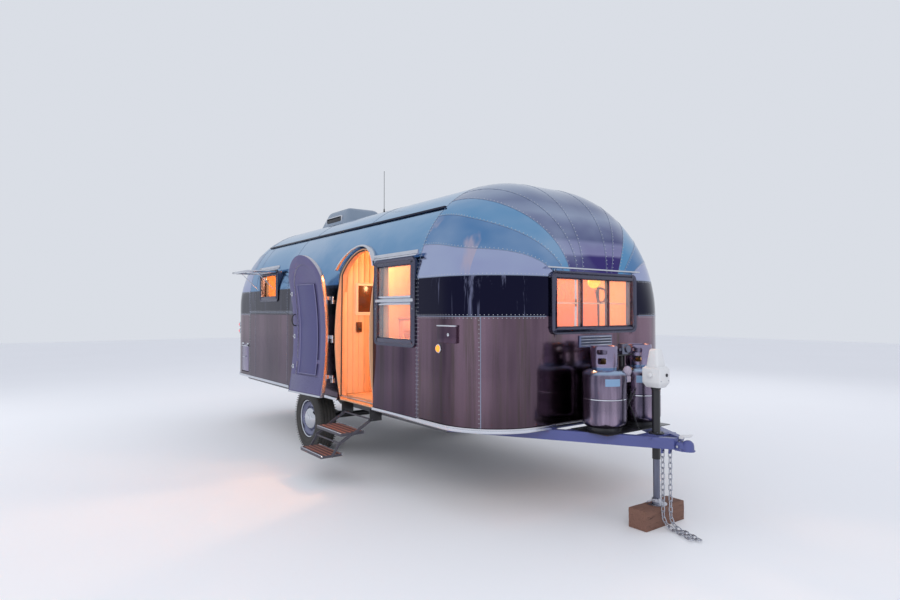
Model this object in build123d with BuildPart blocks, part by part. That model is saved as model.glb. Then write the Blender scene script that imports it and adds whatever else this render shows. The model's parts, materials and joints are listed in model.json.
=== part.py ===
from build123d import *
from math import cos, radians, sin, sqrt
import os

# Travel caravan with a riveted aluminium body, in millimetres.
# X points forward, Y to the left, Z up. The origin is the centre of the coupler's ball socket.

os.makedirs("parts", exist_ok=True)

# Heights above the ground
coupler_height = 575
ground = -coupler_height
base_height = 645
crown_height = 2620
shoulder_height = 1700
frame_top_height = 635
axle_height = 345
floor_thickness = 45

# Body shell
nose = -800
body_length = 5700
half_width = 1140
wall = 45
shoulder_radius = crown_height - shoulder_height
corner_radius = 500
brow_radius = 800
face_radius = 450
cap_length = brow_radius + 30
roof_seam_height = 2363
base = ground + base_height
crown = ground + crown_height
tail = nose - body_length
front_seam = nose - cap_length
rear_seam = tail + cap_length
roof_seam = ground + roof_seam_height
frame_top = ground + frame_top_height
floor_top = base + floor_thickness
seat = 0.3
lining_strips = 6

# Stations of a cap, as distances behind its end face
cap_stations = (0, 38, 146, 309, corner_radius, cap_length)

# Tow frame
rail_width = 50
rail_depth = 75
rail_nose = -70
rail_spread = 940
rail_back = -1500
jack_back = 250
tray_back = 546

# Jack
jack_tube_radius = 28.5
jack_leg_radius = 24
jack_running_gap = 0.1
jack_tube_low = 455
jack_tube_high = 965
jack_head_top = 1240
jack_travel = 230
foot_height = 136
foot_radius = 72
foot_plate = 10
timber = (150, 450, foot_height)

# Gas cylinders
cylinder_radius = 150
cylinder_spread = 206
cylinder_top = 1255
cylinder_base = 655

# Wheels
axle_back = 3850
tyre_radius = axle_height
rim_radius = 203
tyre_width = 205
tyre_outer_face = 1112
arch_top_height = 800
arch_half_length = 430

# Openings: door, windows
door_rear = -3040
door_front = -2340
door_top = 2100
door_spring = 1880
door_frame_bar = 12
door_gap = 14
door_inset = door_frame_bar + door_gap
door_thick = 42
door_frame_deep = 70
door_bow_radius = 3050
door_bow_height = 1250
door_bow_proud = 35
hinge_x = door_rear - 12
hinge_y = -half_width - door_bow_proud - 14
door_open_angle = 174
frame_bar = 40
frame_proud = 25
sash_bar = 30
glass_thickness = 6

# side, from x, to x, low, high, height of the rail between two sashes
side_windows = (
    (-1, front_seam - 660, front_seam - 30, 1230, 1940, 1600),
    (-1, rear_seam + 420, rear_seam + 1020, 1640, 2000, None),
    (1, front_seam - 660, front_seam - 30, 1230, 1940, 1600),
    (1, front_seam - 1770, front_seam - 1170, 1450, 1940, None),
    (1, rear_seam + 420, rear_seam + 1020, 1450, 1940, None),
)
propped_window = 1
end_window_half = 500
end_window_low = 1340
end_window_high = 1810


def cap_sizes(behind, inset):
    """half width, crown and shoulder radius of the shell at a distance behind its end face"""
    plan = max(corner_radius - max(behind, inset), 0)
    rise = max(brow_radius - max(behind, inset), 0)
    half = half_width - corner_radius + sqrt((corner_radius - inset) ** 2 - min(plan, corner_radius - inset) ** 2)
    high = crown - brow_radius + sqrt((brow_radius - inset) ** 2 - min(rise, brow_radius - inset) ** 2)
    growth = (half - half_width + corner_radius) / (corner_radius - inset)
    shoulder = face_radius + (shoulder_radius - face_radius) * growth - inset
    return half, high, shoulder


def lining_section(x, half, high, shoulder, low):
    """one cross section of the lining, whose shoulders are flat strips"""
    side = high - shoulder
    turns = [radians(90 * k / lining_strips) for k in range(lining_strips + 1)]
    shoulder_line = [(half - shoulder + shoulder * cos(t), side + shoulder * sin(t)) for t in turns]
    mirrored = [(-y, z) for y, z in reversed(shoulder_line)]
    with BuildSketch(Plane(origin=(x, 0, 0), x_dir=(0, 1, 0), z_dir=(1, 0, 0))) as section:
        with BuildLine():
            Polyline((-half, low), (half, low), *shoulder_line, *mirrored, close=True)
        make_face()
    return section.sketch


def body_section(x, half, high, shoulder, low):
    """one cross section of the body, made of lines and arcs"""
    side = high - shoulder
    slope = shoulder * sqrt(0.5)
    with BuildSketch(Plane(origin=(x, 0, 0), x_dir=(0, 1, 0), z_dir=(1, 0, 0))) as section:
        with BuildLine():
            Line((-half, low), (half, low))
            Line((half, low), (half, side))
            ThreePointArc(
                (half, side),
                (half - shoulder + slope, side + slope),
                (half - shoulder, high),
            )
            Line((half - shoulder, high), (shoulder - half, high))
            ThreePointArc(
                (shoulder - half, high),
                (shoulder - half - slope, side + slope),
                (-half, side),
            )
            Line((-half, side), (-half, low))
        make_face()
    return section.sketch


def cap_sections(end, towards, inset, low):
    """the sections of a cap, from its end face towards the middle of the body"""
    sections = []
    for behind in cap_stations:
        place = max(behind, inset)
        half, high, shoulder = cap_sizes(behind, inset)
        section = lining_section if inset else body_section
        sections.append(section(end + towards * place, half, high, shoulder, low))
    return sections if inset == 0 else sections[1:]


def block(x0, x1, y0, y1, z0, z1, mode=Mode.ADD):
    """a rectangular block between two corners, in the part that is being built"""
    with Locations(((x0 + x1) / 2, (y0 + y1) / 2, (z0 + z1) / 2)):
        return Box(abs(x1 - x0), abs(y1 - y0), abs(z1 - z0), mode=mode)


def save(part, name):
    part.label = name
    export_step(part, f"parts/{name}.step")


def side_cuts(side):
    """cuts the window openings of one side"""
    for which, x0, x1, low, high, sash_rail in side_windows:
        if which == side:
            block(
                x0, x1, side * (half_width - 250), side * (half_width + 50),
                ground + low, ground + high, mode=Mode.SUBTRACT,
            )


def door_outline(inset, low):
    """the arched outline of the doorway, looking along Y"""
    middle = (door_rear + door_front) / 2
    half = (door_front - door_rear) / 2 - inset
    with BuildSketch(Plane.XZ.offset(half_width + 150)) as outline:
        with BuildLine():
            Line((middle - half, low), (middle + half, low))
            Line((middle + half, low), (middle + half, ground + door_spring - inset))
            ThreePointArc(
                (middle + half, ground + door_spring - inset),
                (middle, ground + door_top - inset),
                (middle - half, ground + door_spring - inset),
            )
            Line((middle - half, ground + door_spring - inset), (middle - half, low))
        make_face()
    return outline.sketch


def door_slab(shallow, deep):
    """the bowed space of the door between two depths behind its outer face, cut square to X"""
    bow_y = -half_width - door_bow_proud + door_bow_radius
    bow_z = ground + door_bow_height
    with BuildSketch(Plane.YZ.offset(door_rear - 50)) as section:
        with Locations((bow_y, bow_z)):
            Circle(door_bow_radius - shallow)
            Circle(door_bow_radius - deep, mode=Mode.SUBTRACT)
        with Locations((bow_y - door_bow_radius, bow_z)):
            Rectangle(door_bow_radius, 2 * door_bow_radius / 3, mode=Mode.INTERSECT)
    return section.sketch


# Caps
front_outer = cap_sections(nose, -1, 0, base)
front_inner = cap_sections(nose, -1, wall, base - 50)
rear_outer = cap_sections(tail, 1, 0, base)
rear_inner = cap_sections(tail, 1, wall, base - 50)
service_x0 = tail + corner_radius + 10
service_x1 = service_x0 + 280
service_low = ground + 700
service_high = ground + 1060
window_low = ground + end_window_low
window_high = ground + end_window_high

with BuildPart() as front_cap:
    loft(sections=front_outer, ruled=True)
    loft(sections=front_inner, ruled=True, mode=Mode.SUBTRACT)
    block(nose - 200, nose + 50, -end_window_half, end_window_half, window_low, window_high, mode=Mode.SUBTRACT)
save(front_cap.part, "front_cap")

with BuildPart() as rear_cap:
    loft(sections=rear_outer, ruled=True)
    loft(sections=rear_inner, ruled=True, mode=Mode.SUBTRACT)
    block(tail - 50, tail + 200, -end_window_half, end_window_half, window_low, window_high, mode=Mode.SUBTRACT)
    block(
        service_x0, service_x1, -half_width - 50, -half_width + 250, service_low, service_high, mode=Mode.SUBTRACT
    )
save(rear_cap.part, "rear_cap")

# Walls and roof between the caps
middle_outer = body_section(rear_seam, half_width, crown, shoulder_radius, base)
middle_inner = body_section(rear_seam, half_width - wall, crown - wall, shoulder_radius - wall, base - 50)
middle_length = front_seam - rear_seam


def arch_outline():
    """the wheel arch in the wall, looking along Y"""
    flat = arch_half_length - 120
    with BuildSketch(Plane.XZ.offset(-half_width - 50)) as outline:
        with BuildLine():
            Polyline(
                (-axle_back - arch_half_length, base - 10),
                (-axle_back - flat, ground + arch_top_height),
                (-axle_back + flat, ground + arch_top_height),
                (-axle_back + arch_half_length, base - 10),
                close=True,
            )
        make_face()
    return outline.sketch


wheel_arch = arch_outline()
doorway = door_outline(0, base - 20)

for side, name in ((-1, "right_wall"), (1, "left_wall")):
    with BuildPart() as side_wall:
        extrude(middle_outer, amount=middle_length)
        extrude(middle_inner, amount=middle_length, mode=Mode.SUBTRACT)
        split(bisect_by=Plane.XY.offset(roof_seam), keep=Keep.BOTTOM)
        split(bisect_by=Plane.XZ, keep=Keep.TOP if side < 0 else Keep.BOTTOM)
        extrude(wheel_arch, amount=2 * half_width + 100, mode=Mode.SUBTRACT)
        side_cuts(side)
        if side < 0:
            extrude(doorway, amount=-400, mode=Mode.SUBTRACT)
    save(side_wall.part, name)

with BuildPart() as roof:
    extrude(middle_outer, amount=middle_length)
    extrude(middle_inner, amount=middle_length, mode=Mode.SUBTRACT)
    split(bisect_by=Plane.XY.offset(roof_seam), keep=Keep.TOP)
save(roof.part, "roof")

# Floor, belly pan and wheel wells
well_inner = 860
well_half = arch_half_length + 10
well_top = ground + arch_top_height + 10
skin = 12
floor_corners = []
for end, towards, side in ((nose, -1, -1), (tail, 1, -1), (tail, 1, 1), (nose, -1, 1)):
    corner = []
    for behind in cap_stations[2:-1]:
        place = max(behind, wall)
        corner.append((end + towards * (place + seat), side * (cap_sizes(place, wall)[0] - seat)))
    floor_corners += corner if (end == nose) == (side < 0) else corner[::-1]
with BuildPart() as floor_panel:
    with BuildSketch(Plane.XY.offset(frame_top)):
        with BuildLine():
            Polyline(*floor_corners, close=True)
        make_face()
    extrude(amount=floor_top - frame_top)
    for side in (-1, 1):
        block(
            -axle_back - well_half, -axle_back + well_half, side * well_inner, side * (half_width + 10),
            frame_top - 10, floor_top + 10, mode=Mode.SUBTRACT,
        )
    block(
        door_rear, door_front, -half_width - 10, -half_width + door_frame_deep + 32,
        frame_top - 10, floor_top + 10, mode=Mode.SUBTRACT,
    )
save(floor_panel.part, "floor")

pan_depth = 90
pan_half = 1000
pan_sheet = 8
pan_rear = tail + 160
pan_low = frame_top - pan_depth
chassis_half = 620
with BuildPart() as belly_pan:
    for inset, mode in ((0, Mode.ADD), (pan_sheet, Mode.SUBTRACT)):
        with BuildSketch(Plane.YZ.offset(pan_rear + inset)):
            with BuildLine():
                Polyline(
                    (inset - pan_half, frame_top), (inset - pan_half + 70, pan_low + inset),
                    (pan_half - 70 - inset, pan_low + inset), (pan_half - inset, frame_top), close=True,
                )
            make_face()
        extrude(amount=rail_back - 20 - inset - pan_rear - inset, mode=mode)
    for side in (-1, 1):
        block(
            pan_rear, rail_back - 20, side * chassis_half - 20, side * chassis_half + 20, pan_low, frame_top,
        )
        block(
            -axle_back - well_half, -axle_back + well_half, side * (well_inner - 10), side * (half_width + 10),
            pan_low - 10, frame_top + 10, mode=Mode.SUBTRACT,
        )
save(belly_pan.part, "belly_pan")

with BuildPart() as wheel_wells:
    for side in (-1, 1):
        block(
            -axle_back - well_half, -axle_back + well_half, side * well_inner, side * (half_width - wall - 1),
            frame_top, well_top, mode=Mode.ADD,
        )
        block(
            -axle_back - well_half + skin, -axle_back + well_half - skin,
            side * (well_inner + skin), side * (half_width + 10),
            frame_top - 10, well_top - skin, mode=Mode.SUBTRACT,
        )
save(wheel_wells.part, "wheel_wells")

# Base rail round the bottom edge of the body
rail_proud = 14
rail_high = 30
with BuildPart() as base_rail:
    with BuildSketch(Plane.XY.offset(base - 8)):
        with Locations(((nose + tail) / 2, 0)):
            RectangleRounded(
                body_length + 2 * rail_proud, 2 * (half_width + rail_proud), corner_radius + rail_proud
            )
    extrude(amount=rail_high)
    with BuildSketch(Plane.XY.offset(base - 8)):
        with Locations(((nose + tail) / 2, 0)):
            RectangleRounded(body_length + 1, 2 * half_width + 1, corner_radius + 0.5)
    extrude(amount=rail_high, mode=Mode.SUBTRACT)
    block(
        door_rear - 1, door_front + 1, -half_width - 50, -half_width + 50,
        base - 20, base + rail_high, mode=Mode.SUBTRACT,
    )
    for side in (-1, 1):
        block(
            -axle_back - arch_half_length, -axle_back + arch_half_length,
            side * (half_width - 50), side * (half_width + 50), base - 20, base + rail_high, mode=Mode.SUBTRACT,
        )
save(base_rail.part, "base_rail")

# Window frames and glass
with BuildPart() as end_window_frames:
    for face, outward in ((nose, 1), (tail, -1)):
        x0 = face - outward * wall
        x1 = face + outward * frame_proud
        block(x0, x1, -end_window_half, end_window_half, window_low, window_high)
        pane = (2 * end_window_half - 4 * frame_bar) / 3
        for k in (-1, 0, 1):
            block(
                x0 - outward, x1 + outward,
                k * (pane + frame_bar) - pane / 2, k * (pane + frame_bar) + pane / 2,
                window_low + frame_bar, window_high - frame_bar, mode=Mode.SUBTRACT,
            )
save(end_window_frames.part, "end_window_frames")

with BuildPart() as side_window_frames:
    for side, x0, x1, low, high, sash_rail in side_windows:
        y0 = side * (half_width - wall)
        y1 = side * (half_width + frame_proud)
        block(x0, x1, y0, y1, ground + low, ground + high)
        panes = ((low + frame_bar, high - frame_bar),)
        if sash_rail:
            panes = ((low + frame_bar, sash_rail - sash_bar / 2), (sash_rail + sash_bar / 2, high - frame_bar))
        for pane_low, pane_high in panes:
            block(
                x0 + frame_bar, x1 - frame_bar, y0 - side * 10, y1 + side * 10,
                ground + pane_low, ground + pane_high, mode=Mode.SUBTRACT,
            )
save(side_window_frames.part, "side_window_frames")

with BuildPart() as window_glass:
    for face, outward in ((nose, 1), (tail, -1)):
        pane = (2 * end_window_half - 4 * frame_bar) / 3
        for k in (-1, 0, 1):
            block(
                face, face - outward * glass_thickness,
                k * (pane + frame_bar) - pane / 2, k * (pane + frame_bar) + pane / 2,
                window_low + frame_bar, window_high - frame_bar,
            )
    for row, (side, x0, x1, low, high, sash_rail) in enumerate(side_windows):
        if row == propped_window:
            continue
        panes = ((low + frame_bar, high - frame_bar),)
        if sash_rail:
            panes = ((low + frame_bar, sash_rail - sash_bar / 2), (sash_rail + sash_bar / 2, high - frame_bar))
        for pane_low, pane_high in panes:
            block(
                x0 + frame_bar, x1 - frame_bar, side * half_width, side * (half_width - glass_thickness),
                ground + pane_low, ground + pane_high,
            )
save(window_glass.part, "window_glass")

# Propped sash of the rear right window
sash_side, sash_x0, sash_x1, sash_low, sash_high, no_rail = side_windows[propped_window]
sash_reach = sash_high - sash_low - 20
sash_top = ground + sash_high - 6
sash_hinge_y = -half_width - frame_proud
with BuildPart() as propped_sash:
    block(
        sash_x0 + 8, sash_x1 - 8, sash_hinge_y, sash_hinge_y - sash_reach, sash_top - 22, sash_top,
    )
    block(
        sash_x0 + 42, sash_x1 - 42, sash_hinge_y - 34, sash_hinge_y - sash_reach + 34,
        sash_top - 30, sash_top + 8, mode=Mode.SUBTRACT,
    )
save(propped_sash.part, "propped_sash")
with BuildPart() as sash_glass:
    block(
        sash_x0 + 42, sash_x1 - 42, sash_hinge_y - 34, sash_hinge_y - sash_reach + 34,
        sash_top - 14, sash_top - 8,
    )
save(sash_glass.part, "sash_glass")

# Entrance door: a bowed frame in the doorway, and the leaf, turned open about its hinge
hinge_axis = Axis((hinge_x, hinge_y, 0), (0, 0, 1))
slab_length = door_front - door_rear + 100
door_low = base + door_inset
with BuildPart() as door_frame:
    extrude(door_slab(0, door_frame_deep), amount=slab_length)
    extrude(door_outline(0, base), amount=-400, mode=Mode.INTERSECT)
    extrude(door_outline(door_frame_bar, base + door_frame_bar), amount=-400, mode=Mode.SUBTRACT)
save(door_frame.part, "door_frame")

panel_edge = 95
panel_deep = 10
with BuildPart() as door_panels:
    extrude(door_slab(door_thick - panel_deep, door_thick + 20), amount=slab_length)
    with BuildPart(mode=Mode.INTERSECT):
        extrude(door_outline(door_inset + panel_edge, door_low + 360), amount=-400)
        with BuildSketch(Plane.XZ.offset(half_width + 150)):
            with Locations(((door_rear + door_front) / 2, door_low + 200)):
                Rectangle(door_front - door_rear - 2 * (door_inset + panel_edge), 240)
        extrude(amount=-400)
with BuildPart() as closed_door:
    extrude(door_slab(0, door_thick), amount=slab_length)
    extrude(door_outline(door_inset, door_low), amount=-400, mode=Mode.INTERSECT)
    add(door_panels.part, mode=Mode.SUBTRACT)
with BuildPart() as door_leaf:
    add(closed_door.part.rotate(hinge_axis, -door_open_angle))
save(door_leaf.part, "door_leaf")

# Coupler, A-frame, jack
tray_bar = -tray_back - 170
rail_low = frame_top - rail_depth
chain_eyes = ((-150, -72), (-112, -40))
chain_count = 20
eye_thick = 8
eye_half = 16
eye_low = rail_low - 36


def rail_inner(x):
    """distance of a rail's inner face from the centre plane"""
    return 5 + (rail_spread - 67) * (rail_nose - x) / (rail_nose - rail_back)


with BuildPart() as a_frame:
    for side in (-1, 1):
        with BuildSketch(Plane.XY.offset(frame_top - rail_depth)):
            with BuildLine():
                Polyline(
                    (rail_nose, side * 5), (rail_nose, side * 60), (rail_back, side * rail_spread),
                    (rail_back, side * (rail_spread - 62)),
                    close=True,
                )
            make_face()
        extrude(amount=rail_depth)
    block(rail_back, rail_back + rail_width, -rail_spread + 30, rail_spread - 30, frame_top - rail_depth, frame_top)
    block(-jack_back - 60, -jack_back + 60, -150, 150, frame_top - 12, frame_top)
    with Locations((-jack_back, 0, frame_top)):
        Cylinder(jack_tube_radius, 100, mode=Mode.SUBTRACT)
    block(
        tray_bar - 20, tray_bar + 20, -rail_inner(tray_bar) - 20, rail_inner(tray_bar) + 20,
        frame_top - 40, frame_top,
    )
    for x, y in chain_eyes:
        block(x - eye_thick / 2, x + eye_thick / 2, y - eye_half, y + eye_half, eye_low, rail_low)
        block(x - eye_thick, x + eye_thick, y - 6, y + 6, eye_low + 10, eye_low + 26, mode=Mode.SUBTRACT)
save(a_frame.part, "a_frame")

socket_radius = 25.5
coupler_high = 54
cheek = 10
with BuildPart() as coupler:
    with BuildSketch(Plane.XY.offset(-20)):
        with BuildLine():
            Polyline(
                (rail_nose, -58), (-44, -58), (8, -36), (34, -24), (46, -8), (46, 8), (34, 24), (8, 36),
                (-44, 58), (rail_nose, 58), close=True,
            )
        make_face()
    extrude(amount=coupler_high + 20)
    block(rail_nose - 1, -40, -58 + cheek, 58 - cheek, -21, coupler_high - cheek, mode=Mode.SUBTRACT)
    with BuildSketch(Plane.XZ.offset(-80)):
        with BuildLine():
            Polyline((-30, coupler_high + 1), (60, coupler_high + 1), (60, 26), (20, 34), close=True)
        make_face()
    extrude(amount=160, mode=Mode.SUBTRACT)
    with Locations((0, 0, -10)):
        Cylinder(socket_radius, 21 + 14, align=(Align.CENTER, Align.CENTER, Align.MIN), mode=Mode.SUBTRACT)
        Cylinder(socket_radius, 11, align=(Align.CENTER, Align.CENTER, Align.MAX), mode=Mode.SUBTRACT)
save(coupler.part, "coupler")

with BuildPart() as coupler_lever:
    with BuildSketch(Plane.XZ.offset(-10)):
        with BuildLine():
            Polyline(
                (-66, coupler_high), (-34, coupler_high), (-28, 66), (18, 76), (34, 92), (26, 98),
                (-20, 86), (-54, 82), (-66, 70), close=True,
            )
        make_face()
    extrude(amount=20)
    chamfer(coupler_lever.edges().group_by(Axis.Z)[-1], 3)
save(coupler_lever.part, "coupler_lever")

with BuildPart() as jack_column:
    with Locations((-jack_back, 0, ground + (jack_tube_low + jack_tube_high) / 2)):
        Cylinder(jack_tube_radius, jack_tube_high - jack_tube_low)
    with Locations((-jack_back, 0, frame_top + 5)):
        Cylinder(55, 10)
    with Locations((-jack_back, 0, ground + jack_tube_low + (jack_tube_high - jack_tube_low - 20) / 2)):
        Cylinder(jack_leg_radius + jack_running_gap, jack_tube_high - jack_tube_low - 20, mode=Mode.SUBTRACT)
save(jack_column.part, "jack_column")

head_low = ground + jack_tube_high
head_high = ground + jack_head_top
skirt_high = head_low + 40
dome_low = skirt_high + 100
body_half = 74
dome_half = 54
with BuildPart() as jack_head:
    block(-jack_back - body_half, -jack_back + body_half, -body_half, body_half, head_low, dome_low)
    chamfer(jack_head.edges().filter_by(Axis.Z), 22)
    with BuildSketch(Plane.XY.offset(dome_low)):
        with Locations((-jack_back, 0)):
            base_outline = Rectangle(2 * dome_half, 2 * dome_half)
            chamfer(base_outline.vertices(), 18)
    extrude(amount=head_high - dome_low, taper=6)
    chamfer(jack_head.faces().sort_by(Axis.Z)[-1].edges(), 14)
    with Locations(Location((-jack_back, -body_half, skirt_high + 50), (90, 0, 0))):
        Cylinder(13, 22, align=(Align.CENTER, Align.CENTER, Align.MIN))
save(jack_head.part, "jack_head")

foot_low = ground + foot_height
leg_high = ground + jack_tube_high - 30 - jack_travel
with BuildPart() as jack_leg:
    with Locations((-jack_back, 0, (foot_low + leg_high) / 2 + seat / 2)):
        Cylinder(jack_leg_radius, leg_high - foot_low - seat)
    with Locations((-jack_back, 0, foot_low + seat + foot_plate / 2)):
        Cylinder(foot_radius, foot_plate)
    with Locations((-jack_back, 0, foot_low + seat + foot_plate + 15)):
        Cylinder(34, 30)
save(jack_leg.part, "jack_leg")

with BuildPart() as timber_block:
    with Locations((-jack_back, 0, ground + foot_height / 2)):
        Box(*timber)
    chamfer(timber_block.edges().filter_by(Axis.Y), 4)
save(timber_block.part, "timber_block")

# Gas cylinders on their tray, with the hold-down bar and the regulator
tank_low = ground + cylinder_base
tank_high = ground + cylinder_top
ring_radius = 110
hold_low = frame_top + 540
hold_high = hold_low + 12
with BuildPart() as gas_tray:
    block(
        -tray_back - 175, -tray_back + 165, -cylinder_spread - 165, cylinder_spread + 165,
        frame_top, frame_top + 6,
    )
    for side in (-1, 1):
        with Locations((-tray_back, side * cylinder_spread, frame_top + 6)):
            Cylinder(
                ring_radius - 10, tank_low - frame_top - 6,
                align=(Align.CENTER, Align.CENTER, Align.MIN),
            )
    block(-tray_back - 8, -tray_back + 8, -8, 8, frame_top, hold_low)
    block(-tray_back - 20, -tray_back + 20, -cylinder_spread - 40, cylinder_spread + 40, hold_low, hold_high)
save(gas_tray.part, "gas_tray")

tank_sides = 32
tank_shoulder = 440
dome_deep = 55
dome_lean = 42
foot_lean = 40
valve_radius = 24
valve_high = 60
collar_low = tank_low + tank_shoulder - 10
collar_radius = 98
collar_thick = 7
collar_sides = 24
with BuildPart() as gas_cylinders:
    for side in (-1, 1):
        with BuildSketch(Plane(origin=(-tray_back, side * cylinder_spread, tank_low))):
            RegularPolygon(cylinder_radius, tank_sides)
        extrude(amount=tank_shoulder)
        for end_z, lean in ((tank_low, foot_lean), (tank_low + tank_shoulder, dome_lean)):
            end = gas_cylinders.faces().sort_by_distance((-tray_back, side * cylinder_spread, end_z))[0]
            chamfer(end.outer_wire().edges(), length=lean, length2=dome_deep, reference=end)
        with BuildSketch(Plane(origin=(-tray_back, side * cylinder_spread, collar_low))):
            RegularPolygon(collar_radius, collar_sides)
        extrude(amount=tank_high - collar_low)
        with BuildSketch(Plane(origin=(-tray_back, side * cylinder_spread, tank_low + tank_shoulder))):
            RegularPolygon(collar_radius - collar_thick, collar_sides)
        extrude(amount=tank_high - tank_low, mode=Mode.SUBTRACT)
        with Locations((-tray_back, side * cylinder_spread, tank_low + tank_shoulder)):
            Cylinder(valve_radius, valve_high, align=(Align.CENTER, Align.CENTER, Align.MIN))
        block(
            -tray_back - 30, -tray_back + 30, side * cylinder_spread - 120, side * cylinder_spread + 120,
            hold_low - 20, tank_high + 10, mode=Mode.SUBTRACT,
        )
        block(
            -tray_back - 120, -tray_back + 120, side * cylinder_spread - 34, side * cylinder_spread + 34,
            tank_low + 500, tank_low + 560, mode=Mode.SUBTRACT,
        )
save(gas_cylinders.part, "gas_cylinders")

regulator_x = -tray_back + 20
regulator_low = hold_high
with BuildPart() as gas_fittings:
    block(regulator_x - 40, regulator_x + 24, -34, 34, regulator_low, regulator_low + 78)
    chamfer(gas_fittings.edges().filter_by(Axis.Z), 12)
    with Locations(Location((regulator_x + 24, 0, regulator_low + 40), (0, 90, 0))):
        Cylinder(27, 20, align=(Align.CENTER, Align.CENTER, Align.MIN))
    block(regulator_x - 12, regulator_x + 6, -62, 62, regulator_low + 26, regulator_low + 44)
save(gas_fittings.part, "gas_fittings")

# Safety chains: links that hang from the frame's eyes and run out along the ground
link_wire = 8
link_half = 19
link_side = 16
link_corner = 8
ground_run = ground + link_side + seat
chain_bend = 90


def chain_link(place, direction, roll):
    """one link, its long way along the direction and turned about it"""
    plane = Plane(origin=place, x_dir=direction, z_dir=direction.cross(roll))
    with BuildSketch(plane) as outline:
        for shrink, mode in ((0, Mode.ADD), (link_wire, Mode.SUBTRACT)):
            reach = link_half + link_wire - shrink
            side = link_side - shrink
            corner = link_corner - 0.6 * shrink
            Rectangle(2 * reach, 2 * side, mode=mode)
            if mode == Mode.ADD:
                chamfer(vertices(), corner)
    extrude(outline.sketch, amount=link_wire / 2, both=True)


def along(path, distance):
    """the place at a distance along a line of points"""
    for first, last in zip(path, path[1:]):
        length = (last - first).length
        if distance <= length:
            return first + (last - first) * (distance / length)
        distance -= length
    return path[-1]


def heading(path, distance):
    """the way a link lies at a distance along the line"""
    return (along(path, distance + link_half) - along(path, max(distance - link_half, 0))).normalized()


def next_link(path, distance):
    """the distance of the next link, whose end bar seats in this one however far the line turns"""
    pitch = 2 * link_half
    for attempt in range(4):
        turn = radians(heading(path, distance).get_angle(heading(path, distance + pitch)))
        bar = link_half + link_wire / 2
        room = link_half - seat + bar * cos(turn) - link_wire / 2 * (cos(turn) + sin(turn))
        pitch = room / cos(turn / 2)
    return distance + pitch


with BuildPart() as safety_chains:
    for (x, y), out_y in zip(chain_eyes, (-150, -118)):
        path = [Vector(x, y, eye_low + 10 + seat - link_half)]
        for turn in range(0, 91, 15):
            forward = chain_bend * (1 - cos(radians(turn)))
            path.append(Vector(x + forward, y, ground_run + chain_bend * (1 - sin(radians(turn)))))
        path.append(Vector(x + 320, out_y, ground_run))
        distance = 0
        across = Vector(0, 1, 0)
        for k in range(chain_count):
            direction = heading(path, distance)
            chain_link(along(path, distance), direction, across if k % 2 else direction.cross(across))
            distance = next_link(path, distance)
save(safety_chains.part, "safety_chains")

# Running gear
axle_z = ground + axle_height
axle_x = -axle_back
spindle_radius = 20
spindle_gap = 0.05
spring_side = 760
axle_tube_radius = 30
with BuildPart() as axle:
    with Locations(Location((axle_x, 0, axle_z), (90, 0, 0))):
        Cylinder(axle_tube_radius, 2 * 880)
        Cylinder(spindle_radius, 2 * 1020)
save(axle.part, "axle")

spring_half = 350
spring_rise = 120
spring_thick = 24
spring_wide = 50
spring_low = axle_z + axle_tube_radius
with BuildPart() as leaf_springs:
    for side in (-1, 1):
        with BuildSketch(Plane.XZ.offset(-side * spring_side - spring_wide / 2)):
            with BuildLine():
                ThreePointArc(
                    (axle_x - spring_half, spring_low + spring_rise),
                    (axle_x, spring_low),
                    (axle_x + spring_half, spring_low + spring_rise),
                )
                Line(
                    (axle_x + spring_half, spring_low + spring_rise),
                    (axle_x + spring_half, spring_low + spring_rise + spring_thick),
                )
                ThreePointArc(
                    (axle_x + spring_half, spring_low + spring_rise + spring_thick),
                    (axle_x, spring_low + spring_thick),
                    (axle_x - spring_half, spring_low + spring_rise + spring_thick),
                )
                Line(
                    (axle_x - spring_half, spring_low + spring_rise + spring_thick),
                    (axle_x - spring_half, spring_low + spring_rise),
                )
            make_face()
        extrude(amount=spring_wide)
        for end in (-1, 1):
            block(
                axle_x + end * spring_half - 22, axle_x + end * spring_half + 22,
                side * spring_side - 32, side * spring_side + 32,
                spring_low + spring_rise - 8, pan_low,
            )
save(leaf_springs.part, "leaf_springs")

tyre_inner_face = tyre_outer_face - tyre_width
tyre_middle = tyre_outer_face - tyre_width / 2
bead = 25
tyre_sides = 48
hub_sides = 30
cap_deep = 34
cap_lean = 46
shoulder_deep = 32
sidewall_lean = 14

hub_in = 905
rim_edge = 12
rim_in = hub_in + 55
rim_out = tyre_outer_face - bead
dish = 1045
cap_out = 1115

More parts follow.
